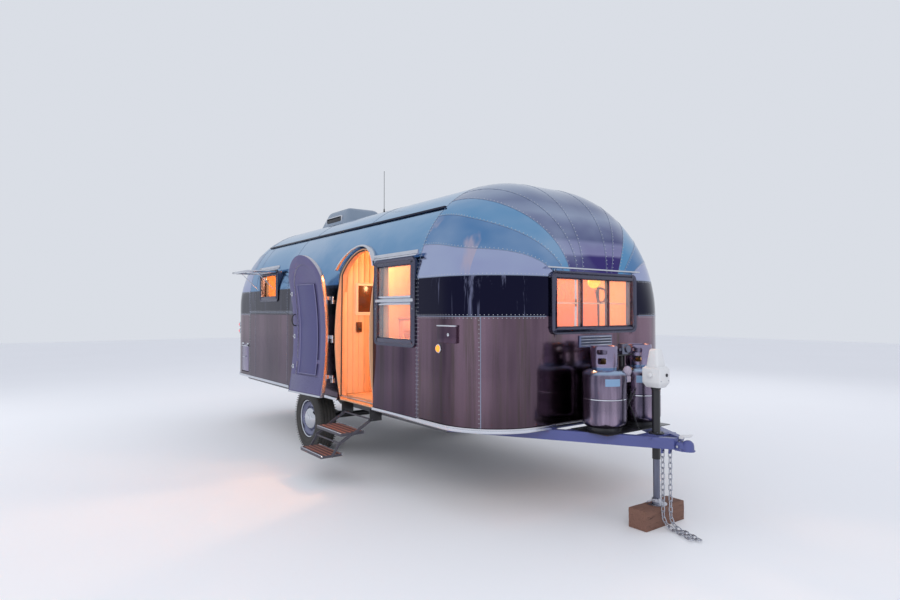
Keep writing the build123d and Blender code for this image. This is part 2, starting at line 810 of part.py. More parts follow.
# radius, sides, from y, to y, added or cut
wheel_discs = (
    (130, hub_sides, hub_in, rim_in + 1, Mode.ADD),
    (rim_radius, tyre_sides, rim_in, rim_out, Mode.ADD),
    (rim_radius - rim_edge, tyre_sides, dish, rim_out, Mode.SUBTRACT),
    (122, hub_sides, dish - 1, cap_out, Mode.ADD),
)
for side, name in ((1, "left"), (-1, "right")):
    with BuildPart() as tyre:
        tyre_plane = Plane(origin=(axle_x, side * tyre_middle, axle_z), x_dir=(0, 0, -1), z_dir=(0, side, 0))
        with BuildSketch(tyre_plane):
            RegularPolygon(tyre_radius, tyre_sides)
            RegularPolygon(rim_radius, tyre_sides, mode=Mode.SUBTRACT)
        extrude(amount=tyre_width / 2, both=True)
        for face in (tyre.faces().sort_by(Axis.Y)[0], tyre.faces().sort_by(Axis.Y)[-1]):
            chamfer(face.outer_wire().edges(), length=shoulder_deep, length2=sidewall_lean, reference=face)
    save(tyre.part, f"tyre_{name}")
    with BuildPart() as wheel:
        for radius, sides, near, far, mode in wheel_discs:
            with BuildSketch(Plane(origin=(axle_x, side * near, axle_z), x_dir=(0, 0, -1), z_dir=(0, side, 0))):
                RegularPolygon(radius, sides)
            extrude(amount=far - near, mode=mode)
        cap_face = wheel.faces().sort_by(Axis.Y)[-1 if side > 0 else 0]
        chamfer(cap_face.outer_wire().edges(), length=cap_lean, length2=cap_deep, reference=cap_face)
        with Locations(Location((axle_x, side * hub_in, axle_z), (-90 * side, 0, 0))):
            Cylinder(
                spindle_radius + spindle_gap, 121, align=(Align.CENTER, Align.CENTER, Align.MIN), mode=Mode.SUBTRACT
            )
    save(wheel.part, f"wheel_{name}")

# Folding steps below the doorway
step_x = -2690
step_half = 250
plate = 8
plate_gap = 6
pin_radius = 6
pin_gap = 0.05
link_sides = 10
tread_thick = 24
tread_depth = 230
upper_y = -1285
upper_z = ground + 430
lower_y = -1470
lower_z = ground + 255
fold_y = -1105
fold_z = ground + 539
knee_y = upper_y - 120
knee_z = upper_z - 71
upper_link_in = step_half + plate
upper_link_out = upper_link_in + plate
bracket_in = upper_link_out + plate_gap
bracket_out = bracket_in + plate
lower_link_out = step_half - plate - plate_gap
lower_link_in = lower_link_out - plate
lower_half = lower_link_in - plate_gap


def plate_along_x(points, x0, x1, mode=Mode.ADD):
    """a flat plate square to X whose outline is a hull of many-sided corners at the points"""
    with BuildSketch(Plane.YZ.offset(x0)) as outline:
        with Locations(*[(y, z) for y, z, r in points]):
            RegularPolygon(points[0][2], link_sides)
        make_hull()
    extrude(outline.sketch, amount=x1 - x0, mode=mode)


def pin_along_x(y, z, x0, x1, radius, mode=Mode.ADD):
    with Locations(Location(((x0 + x1) / 2, y, z), (0, 90, 0))):
        Cylinder(radius, abs(x1 - x0), mode=mode)


with BuildPart() as step_brackets:
    for side in (-1, 1):
        x0, x1 = sorted((step_x + side * bracket_in, step_x + side * bracket_out))
        block(x0, x1, fold_y - 25, fold_y + 98, fold_z - 15, frame_top)
        pin_along_x(fold_y, fold_z, x0 - 1, x1 + 1, pin_radius + pin_gap, mode=Mode.SUBTRACT)
save(step_brackets.part, "step_brackets")

with BuildPart() as step_links:
    for side in (-1, 1):
        x0, x1 = sorted((step_x + side * upper_link_in, step_x + side * upper_link_out))
        plate_along_x(((fold_y, fold_z, 13), (upper_y, upper_z, 13)), x0, x1)
        pin_along_x(upper_y, upper_z, x0 - 1, x1 + 1, pin_radius + pin_gap, mode=Mode.SUBTRACT)
        x0, x1 = sorted((step_x + side * upper_link_in, step_x + side * bracket_out))
        pin_along_x(fold_y, fold_z, x0, x1, pin_radius)
    block(
        step_x - upper_link_in, step_x + upper_link_in, fold_y - 6, fold_y + 6, fold_z - 6, fold_z + 6,
    )
save(step_links.part, "step_links")

with BuildPart() as step_upper:
    block(
        step_x - step_half, step_x + step_half, upper_y - tread_depth / 2, upper_y + tread_depth / 2,
        upper_z - tread_thick / 2, upper_z + tread_thick / 2,
    )
    for side in (-1, 1):
        x0, x1 = sorted((step_x + side * (step_half - plate), step_x + side * step_half))
        plate_along_x(((knee_y, knee_z, 14), (upper_y, upper_z, 14)), x0, x1)
        pin_along_x(knee_y, knee_z, x0 - 1, x1 + 1, pin_radius + pin_gap, mode=Mode.SUBTRACT)
        x0, x1 = sorted((step_x + side * (step_half - 1), step_x + side * upper_link_out))
        pin_along_x(upper_y, upper_z, x0, x1, pin_radius)
save(step_upper.part, "step_upper")

with BuildPart() as step_lower_links:
    for side in (-1, 1):
        x0, x1 = sorted((step_x + side * lower_link_in, step_x + side * lower_link_out))
        plate_along_x(((knee_y, knee_z, 11), (lower_y, lower_z, 11)), x0, x1)
        pin_along_x(lower_y, lower_z, x0 - 1, x1 + 1, pin_radius + pin_gap, mode=Mode.SUBTRACT)
        x0, x1 = sorted((step_x + side * (lower_link_in + 1), step_x + side * step_half))
        pin_along_x(knee_y, knee_z, x0, x1, pin_radius)
    block(
        step_x - lower_link_in, step_x + lower_link_in, knee_y - 6, knee_y + 6, knee_z - 6, knee_z + 6,
    )
save(step_lower_links.part, "step_lower_links")

with BuildPart() as step_lower:
    block(
        step_x - lower_half, step_x + lower_half, lower_y - tread_depth / 2 + 15, lower_y + tread_depth / 2 - 15,
        lower_z - tread_thick / 2, lower_z + tread_thick / 2,
    )
    for side in (-1, 1):
        x0, x1 = sorted((step_x + side * (lower_half - 1), step_x + side * lower_link_out))
        pin_along_x(lower_y, lower_z, x0, x1, pin_radius)
save(step_lower.part, "step_lower")

# Hinges: wall halves of the entrance and service doors, and door halves turned open with the leaf
service_hinge_y = -half_width - 8
service_hinge_z = service_high + 8
service_knuckle_x0 = service_x0 + 90
service_knuckle_x1 = service_x1 - 90
hinge_heights = (850, 1240, 1620)
knuckle_radius = 8
knuckle_length = 36
hinge_plate = 8
with BuildPart() as wall_hinges:
    for height in hinge_heights:
        z = ground + height
        block(hinge_x - 46, hinge_x - 6, -half_width - hinge_plate, -half_width, z - knuckle_length, z - seat)
        block(hinge_x - 22, hinge_x - 6, hinge_y, -half_width, z - knuckle_length, z - seat)
        with Locations((hinge_x, hinge_y, z - knuckle_length / 2 - seat / 2)):
            Cylinder(knuckle_radius, knuckle_length - seat)
        block(
            hinge_x - 22, hinge_x, hinge_y - knuckle_radius, hinge_y, z - knuckle_length, z - seat,
        )
    for x0, x1 in ((service_x0, service_knuckle_x0 - seat), (service_knuckle_x1 + seat, service_x1)):
        block(x0, x1, -half_width - 4, -half_width, service_hinge_z, service_hinge_z + 20)
        pin_along_x(service_hinge_y, service_hinge_z, x0, x1, 5)
save(wall_hinges.part, "wall_hinges")

foot_x = door_rear + door_inset + 6
with BuildPart() as closed_hinges:
    for height in hinge_heights:
        z = ground + height
        block(
            hinge_x, foot_x + 34, hinge_y - knuckle_radius, hinge_y + knuckle_radius, z, z + knuckle_length,
        )
        block(foot_x, foot_x + 34, hinge_y, -half_width + 20, z, z + knuckle_length)
        with Locations((hinge_x, hinge_y, z + knuckle_length / 2)):
            Cylinder(knuckle_radius, knuckle_length)
    extrude(door_slab(0, door_frame_deep), amount=slab_length, mode=Mode.SUBTRACT)
with BuildPart() as door_hinges:
    add(closed_hinges.part.rotate(hinge_axis, -door_open_angle))
save(door_hinges.part, "door_hinges")

# Hood over the doorway
hood_reach = 46
hood_section = body_section(
    rear_seam, half_width + hood_reach, crown + hood_reach, shoulder_radius + hood_reach, base
)
hood_low = ground + door_spring + 30
hood_outline = door_outline(-36, base)
hood_inside = door_outline(-18, base)
with BuildPart() as door_hood:
    extrude(hood_section, amount=middle_length)
    extrude(middle_outer, amount=middle_length, mode=Mode.SUBTRACT)
    extrude(hood_outline, amount=-400, mode=Mode.INTERSECT)
    extrude(hood_inside, amount=-400, mode=Mode.SUBTRACT)
    split(bisect_by=Plane.XY.offset(hood_low), keep=Keep.TOP)
save(door_hood.part, "door_hood")

# Roof fittings
rail_y = half_width - shoulder_radius + sqrt(shoulder_radius ** 2 - (roof_seam - ground - shoulder_height) ** 2)
with BuildPart() as roof_rails:
    for side in (-1, 1):
        block(
            rear_seam, front_seam, side * (rail_y - 14), side * (rail_y + 16), roof_seam - 8, roof_seam + 22,
        )
    extrude(middle_outer, amount=middle_length, mode=Mode.SUBTRACT)
save(roof_rails.part, "roof_rails")

air_unit_x = rear_seam + 770
air_unit_length = 900
air_unit_width = 620
air_unit_high = 250
with BuildPart() as air_unit:
    with BuildSketch(Plane.XZ):
        with BuildLine():
            Polyline(
                (air_unit_x - 0.50 * air_unit_length, crown - 12),
                (air_unit_x - 0.47 * air_unit_length, crown + 0.55 * air_unit_high),
                (air_unit_x - 0.36 * air_unit_length, crown + 0.9 * air_unit_high),
                (air_unit_x - 0.20 * air_unit_length, crown + air_unit_high),
                (air_unit_x + 0.16 * air_unit_length, crown + 0.96 * air_unit_high),
                (air_unit_x + 0.38 * air_unit_length, crown + 0.66 * air_unit_high),
                (air_unit_x + 0.50 * air_unit_length, crown + 0.2 * air_unit_high),
                (air_unit_x + 0.50 * air_unit_length, crown - 12),
                close=True,
            )
        make_face()
    extrude(amount=air_unit_width / 2, both=True)
    for side in (-1, 1):
        side_plane = Plane(origin=(air_unit_x, side * air_unit_width / 2, crown), z_dir=(0, side * 1, 0.16))
        edge_plane = Plane(
            origin=(air_unit_x, side * (air_unit_width / 2 - 60), crown + air_unit_high), z_dir=(0, side * 1, 0.9)
        )
        split(bisect_by=side_plane, keep=Keep.BOTTOM)
        split(bisect_by=edge_plane, keep=Keep.BOTTOM)
    block(
        air_unit_x - 0.1 * air_unit_length, air_unit_x + 0.3 * air_unit_length,
        -air_unit_width / 2 - 1, -air_unit_width / 2 + 46,
        crown + 0.2 * air_unit_high, crown + 0.58 * air_unit_high, mode=Mode.SUBTRACT,
    )
    extrude(middle_outer, amount=middle_length, mode=Mode.SUBTRACT)
save(air_unit.part, "air_unit")

# distance ahead of the rear seam, length, width, height
vents = ((1920, 600, 380, 70), (170, 280, 280, 90), (3470, 360, 360, 70))
with BuildPart() as roof_vents:
    for ahead, length, width, height in vents:
        with BuildSketch(Plane.XY.offset(crown)):
            with Locations((rear_seam + ahead, 0)):
                Rectangle(length, width)
                chamfer(vertices(), 40)
        extrude(amount=height, taper=20)
save(roof_vents.part, "roof_vents")

aerial_x = rear_seam + 2079
aerial_y = -300
with BuildPart() as aerial:
    with Locations((aerial_x, aerial_y, crown - 10)):
        Cylinder(16, 45, align=(Align.CENTER, Align.CENTER, Align.MIN))
        Cylinder(3, 500, align=(Align.CENTER, Align.CENTER, Align.MIN))
    extrude(middle_outer, amount=middle_length, mode=Mode.SUBTRACT)
save(aerial.part, "aerial")

# Lamps, hatch and louvre
lamp_turn = 20
with BuildPart() as tail_lamps:
    for side in (-1, 1):
        for height in (1240, 1330):
            with Locations(
                Location((tail + corner_radius, side * (half_width - corner_radius), ground + height),
                         (0, 0, side * (90 + lamp_turn))) * Location((corner_radius - 6, 0, 0), (0, 90, 0))
            ):
                Cylinder(36, 30, align=(Align.CENTER, Align.CENTER, Align.MIN))
    loft(sections=rear_outer, ruled=True, mode=Mode.SUBTRACT)
save(tail_lamps.part, "tail_lamps")

marker_x = front_seam + 295
marker_z = ground + 1230
with BuildPart() as marker_lamps:
    for side in (-1, 1):
        with Locations(Location((marker_x, side * half_width, marker_z), (-90 * side, 0, 0))):
            Cylinder(34, 22, align=(Align.CENTER, Align.CENTER, Align.MIN))
save(marker_lamps.part, "marker_lamps")

with BuildPart() as small_hatch:
    block(front_seam + 290, front_seam + 500, -half_width - 12, -half_width + 80, ground + 1275, ground + 1400)
    loft(sections=front_outer, ruled=True, mode=Mode.SUBTRACT)
save(small_hatch.part, "small_hatch")

with BuildPart() as nose_louvre:
    block(nose, nose + 12, -190, 190, window_low - 110, window_low - 20)
save(nose_louvre.part, "nose_louvre")

with BuildPart() as bumper:
    block(tail - 110, tail - 50, -900, 900, frame_top - 60, frame_top + 10)
    for side in (-1, 1):
        block(tail - 60, pan_rear, side * 600 - 25, side * 600 + 25, frame_top - 60, frame_top)
save(bumper.part, "bumper")

# Service door at the rear right corner, hinged along its top edge, and its locker
service_gap = 6
with BuildPart() as service_door:
    block(
        service_x0 + service_gap, service_x1 - service_gap, -half_width - 2, -half_width + 40,
        service_low + 10, service_high - service_gap,
    )
    block(
        service_knuckle_x0, service_knuckle_x1, -half_width - 4, -half_width - seat,
        service_high - 24, service_hinge_z,
    )
    pin_along_x(service_hinge_y, service_hinge_z, service_knuckle_x0, service_knuckle_x1, 5)
save(service_door.part, "service_door")
with BuildPart() as rear_locker:
    block(
        service_x0 - 9, service_x1 + 10, -half_width + wall, -half_width + 420, service_low - 9, service_high + 10,
    )
    block(
        service_x0, service_x1, -half_width + wall - 1, -half_width + 410, service_low, service_high,
        mode=Mode.SUBTRACT,
    )
save(rear_locker.part, "rear_locker")

# Inside
room_gap = seat
room_section = body_section(
    rear_seam, half_width - wall - room_gap, crown - wall - room_gap, shoulder_radius - wall - room_gap, floor_top
)
partition_x = rear_seam + 1030
partition_thick = 40
aisle_side = 330
wardrobe_front = door_rear - 25
wardrobe_rear = -axle_back + well_half + 20
wardrobe_inner = -560
wardrobe_ceiling = ground + shoulder_height + 120
galley_rear = partition_x + partition_thick + 10
galley_front = front_seam - 1070
galley_high = 740
board = 20
locker_low = ground + 1980
locker_high = ground + 2330
lounge_rear = front_seam - 10
lounge_high = 350
bed_front = rear_seam + 470
bed_high = 400
with BuildPart() as partition:
    extrude(room_section, amount=middle_length)
    with BuildPart(mode=Mode.INTERSECT):
        block(partition_x, partition_x + partition_thick, aisle_side, half_width, floor_top, crown)
        block(wardrobe_rear, wardrobe_front, -half_width, wardrobe_inner, floor_top, crown)
    block(
        wardrobe_rear + board, wardrobe_front - board, -half_width + wall + board, wardrobe_inner - board,
        floor_top - 1, wardrobe_ceiling, mode=Mode.SUBTRACT,
    )
save(partition.part, "partition")

with BuildPart() as galley:
    block(galley_rear, galley_front, 520, half_width - wall, floor_top, floor_top + galley_high)
    block(
        galley_rear + board, galley_front - board, 520 + board, half_width - wall - board,
        floor_top - 1, floor_top + galley_high - board, mode=Mode.SUBTRACT,
    )
    block(
        -axle_back - well_half - 30, -axle_back + well_half + 30, well_inner - 30, half_width - wall,
        floor_top, well_top + 30,
    )
    block(
        -axle_back - well_half - 2, -axle_back + well_half + 2, well_inner - 2, half_width,
        floor_top - 1, well_top + 2, mode=Mode.SUBTRACT,
    )
save(galley.part, "galley")

with BuildPart() as wall_lockers:
    extrude(room_section, amount=middle_length)
    block(galley_rear, galley_front + 100, 720, half_width, locker_low, locker_high, mode=Mode.INTERSECT)
    block(
        galley_rear + board, galley_front + 100 - board, 720 + board, half_width - 170,
        locker_low + board, locker_high - 2 * board, mode=Mode.SUBTRACT,
    )
save(wall_lockers.part, "wall_lockers")


def floor_shape(low, high, inset, mode=Mode.ADD):
    """a block over the floor's outline, drawn in from the walls"""
    with BuildSketch(Plane.XY.offset(low)) as outline:
        with BuildLine():
            Polyline(*floor_corners, close=True)
        make_face()
        offset(amount=-inset, kind=Kind.INTERSECTION)
    return extrude(outline.sketch, amount=high - low, mode=mode)


with BuildPart() as lounge_base:
    floor_shape(floor_top, floor_top + lounge_high, 0.1)
    block(lounge_rear, nose, -half_width, half_width, floor_top, crown, mode=Mode.INTERSECT)
    with BuildPart(mode=Mode.SUBTRACT):
        floor_shape(floor_top - 1, floor_top + lounge_high - board, board)
        block(lounge_rear + board, nose, -half_width, half_width, floor_top - 1, crown, mode=Mode.INTERSECT)
save(lounge_base.part, "lounge_base")

cushion_thick = 110
lounge_top = floor_top + lounge_high
back_thick = 120
back_high = 330
with BuildPart() as lounge_cushions:
    floor_shape(lounge_top, lounge_top + cushion_thick, 12)
    block(
        lounge_rear + 10, nose - wall - back_thick - 30, -half_width, half_width,
        lounge_top, crown, mode=Mode.INTERSECT,
    )
    block(
        nose - wall - back_thick, nose - wall - 10, -end_window_half, end_window_half,
        lounge_top, lounge_top + back_high,
    )
save(lounge_cushions.part, "lounge_cushions")

locker_clear = 30
with BuildPart() as bed_base:
    floor_shape(floor_top, floor_top + bed_high, 0.1)
    block(tail, bed_front, -half_width, half_width, floor_top, crown, mode=Mode.INTERSECT)
    block(
        service_x0 - locker_clear, service_x1 + locker_clear, -half_width, -half_width + 440,
        floor_top - 1, crown, mode=Mode.SUBTRACT,
    )
    with BuildPart(mode=Mode.SUBTRACT):
        floor_shape(floor_top - 1, floor_top + bed_high - board, board)
        block(
            tail, bed_front - board, -half_width + 440 + board, half_width, floor_top - 1, crown,
            mode=Mode.INTERSECT,
        )
save(bed_base.part, "bed_base")

mattress_thick = 150
with BuildPart() as mattress:
    floor_shape(floor_top + bed_high, floor_top + bed_high + mattress_thick, 60)
    block(
        tail, bed_front - 20, -half_width + 460, half_width, floor_top, crown, mode=Mode.INTERSECT,
    )
save(mattress.part, "mattress")

# Curtains hang inside the window frames
curtain_thick = 26
with BuildPart() as curtains:
    for side, x0, x1, low, high, sash_rail in side_windows:
        y = side * (half_width - wall)
        for start in (x0 + 4, x1 - 124):
            block(start, start + 120, y, y - side * curtain_thick, ground + low + 6, ground + high - 6)
    extrude(room_section, amount=middle_length, mode=Mode.INTERSECT)
save(curtains.part, "curtains")
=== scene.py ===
import bpy
import json
import math
import random
from mathutils import Matrix, Vector

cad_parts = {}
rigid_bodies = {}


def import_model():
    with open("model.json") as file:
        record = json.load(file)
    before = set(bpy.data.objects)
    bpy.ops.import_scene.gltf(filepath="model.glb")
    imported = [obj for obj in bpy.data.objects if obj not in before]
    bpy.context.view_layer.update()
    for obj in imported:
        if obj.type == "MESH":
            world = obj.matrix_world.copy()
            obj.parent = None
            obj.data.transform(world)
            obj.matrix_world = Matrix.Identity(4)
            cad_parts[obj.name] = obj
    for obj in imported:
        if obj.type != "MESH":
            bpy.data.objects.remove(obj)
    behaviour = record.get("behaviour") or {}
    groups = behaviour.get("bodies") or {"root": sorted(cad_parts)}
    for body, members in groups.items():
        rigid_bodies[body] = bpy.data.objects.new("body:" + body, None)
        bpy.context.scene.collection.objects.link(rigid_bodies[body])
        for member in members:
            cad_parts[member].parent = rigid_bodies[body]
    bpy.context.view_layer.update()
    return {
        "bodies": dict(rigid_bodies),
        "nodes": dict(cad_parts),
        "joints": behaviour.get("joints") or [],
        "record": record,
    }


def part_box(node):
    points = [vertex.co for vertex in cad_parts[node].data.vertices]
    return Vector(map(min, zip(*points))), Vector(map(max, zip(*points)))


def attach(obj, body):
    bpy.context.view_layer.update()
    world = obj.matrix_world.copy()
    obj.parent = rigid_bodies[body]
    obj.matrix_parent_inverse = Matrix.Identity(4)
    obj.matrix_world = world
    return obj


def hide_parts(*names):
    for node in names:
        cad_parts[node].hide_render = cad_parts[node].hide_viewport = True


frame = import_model()
nodes = frame["nodes"]
scene = bpy.context.scene
random.seed(7)

# Main sizes, read from the frame, in metres
capLow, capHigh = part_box("front_cap")
tailLow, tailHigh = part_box("rear_cap")
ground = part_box("timber_block")[0].z
body = dict(
    nose=capHigh.x, frontSeam=capLow.x, tail=tailLow.x, rearSeam=tailHigh.x,
    base=capLow.z, crown=capHigh.z, half=capHigh.y, wall=0.045,
    shoulder=0.92, corner=0.50, brow=0.80, face=0.45, roofSeam=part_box("roof")[0].z,
)
capLength = body["nose"] - body["frontSeam"]
print("frame loaded,", len(nodes), "nodes")


def above(height):
    return ground + height  # a height above the ground, in the row frame


# Heights that the finish and the pieces share
levels = dict(belt=above(1.472), band=above(1.772))  # the seams below and above the windows
# the lowest range is where the lower skin's painted ground reflection turns darker towards the bottom
drifts = dict(crown=(1.82, 2.64), roof=(1.8, 2.4), reflectionDarkLow=(0.66, 1.3))  # heights over which the skin's tones drift

# Shader sockets that take part in Python sums
class Wire:
    def __init__(self, finish, socket):
        self.finish = finish
        self.socket = socket

    def math(self, operation, other, swapped=False):
        pair = [other, self] if swapped else [self, other]
        return self.finish.node("ShaderNodeMath", {"operation": operation}, dict(enumerate(pair)))

    def __add__(self, other):
        return self.math("ADD", other)

    def __radd__(self, other):
        return self.math("ADD", other, True)

    def __sub__(self, other):
        return self.math("SUBTRACT", other)

    def __rsub__(self, other):
        return self.math("SUBTRACT", other, True)

    def __mul__(self, other):
        return self.math("MULTIPLY", other)

    def __rmul__(self, other):
        return self.math("MULTIPLY", other, True)

    def __pow__(self, other):
        return self.math("POWER", other)

    def __gt__(self, other):
        return self.math("GREATER_THAN", other)

    def __lt__(self, other):
        return self.math("LESS_THAN", other)


class Finish:
    def __init__(self, name, **fixed):
        self.material = bpy.data.materials.new(name)
        self.material.use_nodes = True
        self.tree = self.material.node_tree
        self.shader = self.tree.nodes["Principled BSDF"]
        for socket, value in fixed.items():
            self.shader.inputs[socket.replace("_", " ")].default_value = value

    def node(self, kind, settings=None, inputs=None, output=0):
        made = self.tree.nodes.new(kind)
        for key, value in (settings or {}).items():
            if key == "stops":
                ramp = made.color_ramp
                while len(ramp.elements) < len(value):
                    ramp.elements.new(0.5)
                for element, (place, colour) in zip(ramp.elements, value):
                    element.position = place
                    element.color = (*colour, 1) if len(colour) == 3 else colour
            else:
                setattr(made, key, value)
        for key, value in (inputs or {}).items():
            if isinstance(value, Wire):
                self.tree.links.new(value.socket, made.inputs[key])
            else:
                made.inputs[key].default_value = value
        return Wire(self, made.outputs[output])

    def place(self):
        return self.node("ShaderNodeTexCoord", output="Object")

    def axis(self, letter):
        return self.node("ShaderNodeSeparateXYZ", None, {0: self.place()}, output=letter)

    def stretched(self, scale):
        return self.node("ShaderNodeMapping", None, {"Vector": self.place(), "Scale": scale})

    def noise(self, scale, detail=3.0, roughness=0.5, vector=None):
        return self.node("ShaderNodeTexNoise", None, {
            "Vector": vector or self.place(), "Scale": scale, "Detail": detail, "Roughness": roughness})

    def between(self, value, low, high, fromLow=0.0, fromHigh=1.0):
        return self.node("ShaderNodeMapRange", None, {
            "Value": value, "From Min": fromLow, "From Max": fromHigh, "To Min": low, "To Max": high})

    def mix(self, factor, first, second):
        return self.node("ShaderNodeMix", {"data_type": "RGBA"}, {0: factor, 6: first, 7: second}, output=2)

    def bump(self, height, strength=0.3, distance=0.002):
        return self.node("ShaderNodeBump", None, {
            "Height": height, "Strength": strength, "Distance": distance})

    def feed(self, **links):
        for socket, value in links.items():
            self.tree.links.new(value.socket, self.shader.inputs[socket.replace("_", " ")])
        return self.material


def rgb(red, green, blue):
    return (red, green, blue, 1.0)


# Finishes, one function each
# each seam of a cap: angle at its start, angle at its end, power of the curve between
capSeams = ((21.5, 60, 2.4), (39.3, 70.5, 2.4), (51.5, 78, 1.6), (60, 88, 1.0), (96, 114, 1.0))
# the cap tints and the nose ramp below are painted reflections of sky and trees on the cap panels, not colours of the
# metal
capReflectionTints = ((0.10, 0.24, 0.47), (0.12, 0.32, 0.56))
noseReflectionStops = ((0.0, (0.055, 0.040, 0.19)), (0.17, (0.055, 0.040, 0.19)), (0.20, (0.27, 0.26, 0.46)),
             (0.31, (0.23, 0.23, 0.42)), (0.35, (0.075, 0.08, 0.22)), (0.50, (0.12, 0.13, 0.28)),
             (0.60, (0.26, 0.30, 0.44)), (0.72, (0.14, 0.17, 0.31)), (1.0, (0.36, 0.43, 0.55)))


# the skin's base colours are painted reflections: sky on the upper skin, a dark tree line in the belt, the ground
# below
def polishedSkin():
    skin = Finish("polishedSkin", Metallic=1.0)
    height = skin.axis("Z")
    spot = skin.node("ShaderNodeUVMap", {"uv_map": "panelPlace"})
    turn = skin.node("ShaderNodeSeparateXYZ", None, {0: spot}, output="X") * 180
    share = skin.node("ShaderNodeSeparateXYZ", None, {0: spot}, output="Y")
    onCap = share > 0.002
    clouds = skin.noise(1.1, 3.0, 0.55, skin.stretched((1.0, 1.0, 1.8)))
    columns = skin.noise(1.7, 4.0, 0.6, skin.stretched((1.5, 1.5, 0.12)))
    threads = skin.noise(8.0, 5.0, 0.7, skin.stretched((1.6, 1.6, 0.06)))
    # upper skin: painted sky reflection, lighter higher up the roof
    climb = skin.between(height, 0, 1, *map(above, drifts["roof"]))
    upper = skin.mix(climb, rgb(0.12, 0.28, 0.50), rgb(0.22, 0.42, 0.64))
    upper = skin.mix(onCap, upper, rgb(0.36, 0.40, 0.62))
    for (first, last, power), tint in zip(capSeams, capReflectionTints):
        upper = skin.mix((turn > share ** power * (last - first) + first) * onCap, upper, rgb(*tint))
    first, last, power = capSeams[2]
    nose = skin.node("ShaderNodeValToRGB", {"stops": noseReflectionStops},
                     {0: skin.between(height + clouds * 0.05, 0, 1, *map(above, drifts["crown"]))})
    upper = skin.mix((turn > share ** power * (last - first) + first) * onCap, upper, nose)
    # pale blue patches: painted reflection of clouds
    upper = skin.mix(skin.between(clouds, 0, 0.4, 0.42, 0.68), upper, rgb(0.50, 0.60, 0.74))
    # pinkish patch near the top of the caps: painted reflection
    pinkReflectionPatch = skin.between(columns, 0, 0.7, 0.55, 0.62) * skin.between(height, 1, 0, above(2.12),
            above(2.3)) * (share < 0.5) * onCap
    upper = skin.mix(pinkReflectionPatch, upper, rgb(0.55, 0.47, 0.56))
    # belt between the seams: painted dark reflection of a tree line, with painted light streaks
    belt = skin.mix(skin.between(threads, 0, 0.8, 0.57, 0.66), rgb(0.012, 0.012, 0.032), rgb(0.22, 0.23, 0.36))
    # lower skin: painted reflection of the ground, purple-brown with olive streaks
    lower = skin.mix(skin.between(columns, 0, 1, 0.34, 0.62), rgb(0.065, 0.042, 0.062), rgb(0.26, 0.17, 0.22))
    lower = skin.mix(skin.between(threads, 0, 0.6, 0.50, 0.66), lower, rgb(0.085, 0.080, 0.050))
    # painted darker towards the bottom, part of the painted ground reflection
    lower = skin.mix(skin.between(height, 0.6, 0, *map(above, drifts["reflectionDarkLow"])), lower, rgb(0.030, 0.022, 0.026))
    # flat walls painted darker than the caps: painted reflection
    lower = skin.mix((share < 0.002) * 0.45, lower, rgb(0.045, 0.020, 0.055))
    beltEdge = skin.between(height, 0, 1, levels["belt"] - 0.002, levels["belt"] + 0.002)
    bandEdge = skin.between(height, 0, 1, levels["band"] - 0.006, levels["band"] + 0.004)
    colour = skin.mix(bandEdge, skin.mix(beltEdge, lower, belt), upper)
    scuffs = skin.noise(60.0, 3.0, 0.6, skin.stretched((0.15, 1.0, 1.0)))
    rough = skin.between(clouds, 0.07, 0.15) + scuffs * 0.05
    waves = skin.noise(3.5, 2.0) + scuffs * 0.012
    return skin.feed(Base_Color=colour, Roughness=rough, Normal=skin.bump(waves, 0.2, 0.010))


def plainMetal(name, colour, low=0.18, high=0.34, grain=90.0, metallic=1.0, dent=0.0004):
    metal = Finish(name, Metallic=metallic)
    cloth = metal.noise(grain, 4.0, 0.6)
    drift = metal.noise(7.0, 2.0)
    dark = tuple(c * 0.82 for c in colour)
    tint = metal.mix(drift, rgb(*dark), rgb(*colour))
    return metal.feed(Base_Color=tint, Roughness=metal.between(cloth, low, high),
                      Normal=metal.bump(cloth, 0.2, dent))


# the cylinders' colours are painted reflections: purple-brown ground on the sides, blue sky in a band on the shoulder
def tankMetal():
    metal = Finish("tankAluminium", Metallic=1.0)
    height = metal.axis("Z")
    columns = metal.noise(9.0, 4.0, 0.6, metal.stretched((1.4, 1.4, 0.08)))
    fine = metal.noise(120.0, 3.0)
    sides = metal.mix(metal.between(columns, 0, 1, 0.38, 0.62), rgb(0.10, 0.085, 0.13), rgb(0.34, 0.27, 0.36))
    # blue band on the shoulder: painted sky reflection
    colour = metal.mix(metal.between(height, 0, 1, above(1.045), above(1.062)), sides, rgb(0.36, 0.46, 0.62))
    colour = metal.mix(metal.between(height, 0, 1, above(1.098), above(1.104)), colour, rgb(0.30, 0.26, 0.38))
    return metal.feed(Base_Color=colour, Roughness=metal.between(fine, 0.16, 0.30),
                      Normal=metal.bump(fine, 0.2, 0.0004))


def gloss(name, colour, low=0.25, high=0.4, spread=0.85, grain=140.0, coat=0.0, bumpiness=0.0003):
    paint = Finish(name, Coat_Weight=coat, Coat_Roughness=0.08)
    fine = paint.noise(grain, 3.0, 0.55)
    drift = paint.noise(6.0, 3.0)
    tint = paint.mix(drift, rgb(*[c * spread for c in colour]), rgb(*colour))
    return paint.feed(Base_Color=tint, Roughness=paint.between(fine, low, high),
                      Normal=paint.bump(fine, 0.25, bumpiness))


def panelling():
    wood = Finish("panelling", Coat_Weight=0.25, Coat_Roughness=0.25)
    grain = wood.noise(9.0, 5.0, 0.6, wood.stretched((6.0, 6.0, 0.5)))
    fine = wood.noise(60.0, 3.0, 0.6, wood.stretched((3.0, 3.0, 0.25)))
    colour = wood.mix(grain, rgb(0.62, 0.33, 0.15), rgb(0.86, 0.56, 0.31))
    return wood.feed(Base_Color=wood.mix(fine * 0.4, colour, rgb(0.45, 0.22, 0.10)),
                     Roughness=wood.between(fine, 0.35, 0.5), Normal=wood.bump(fine, 0.2, 0.0004))


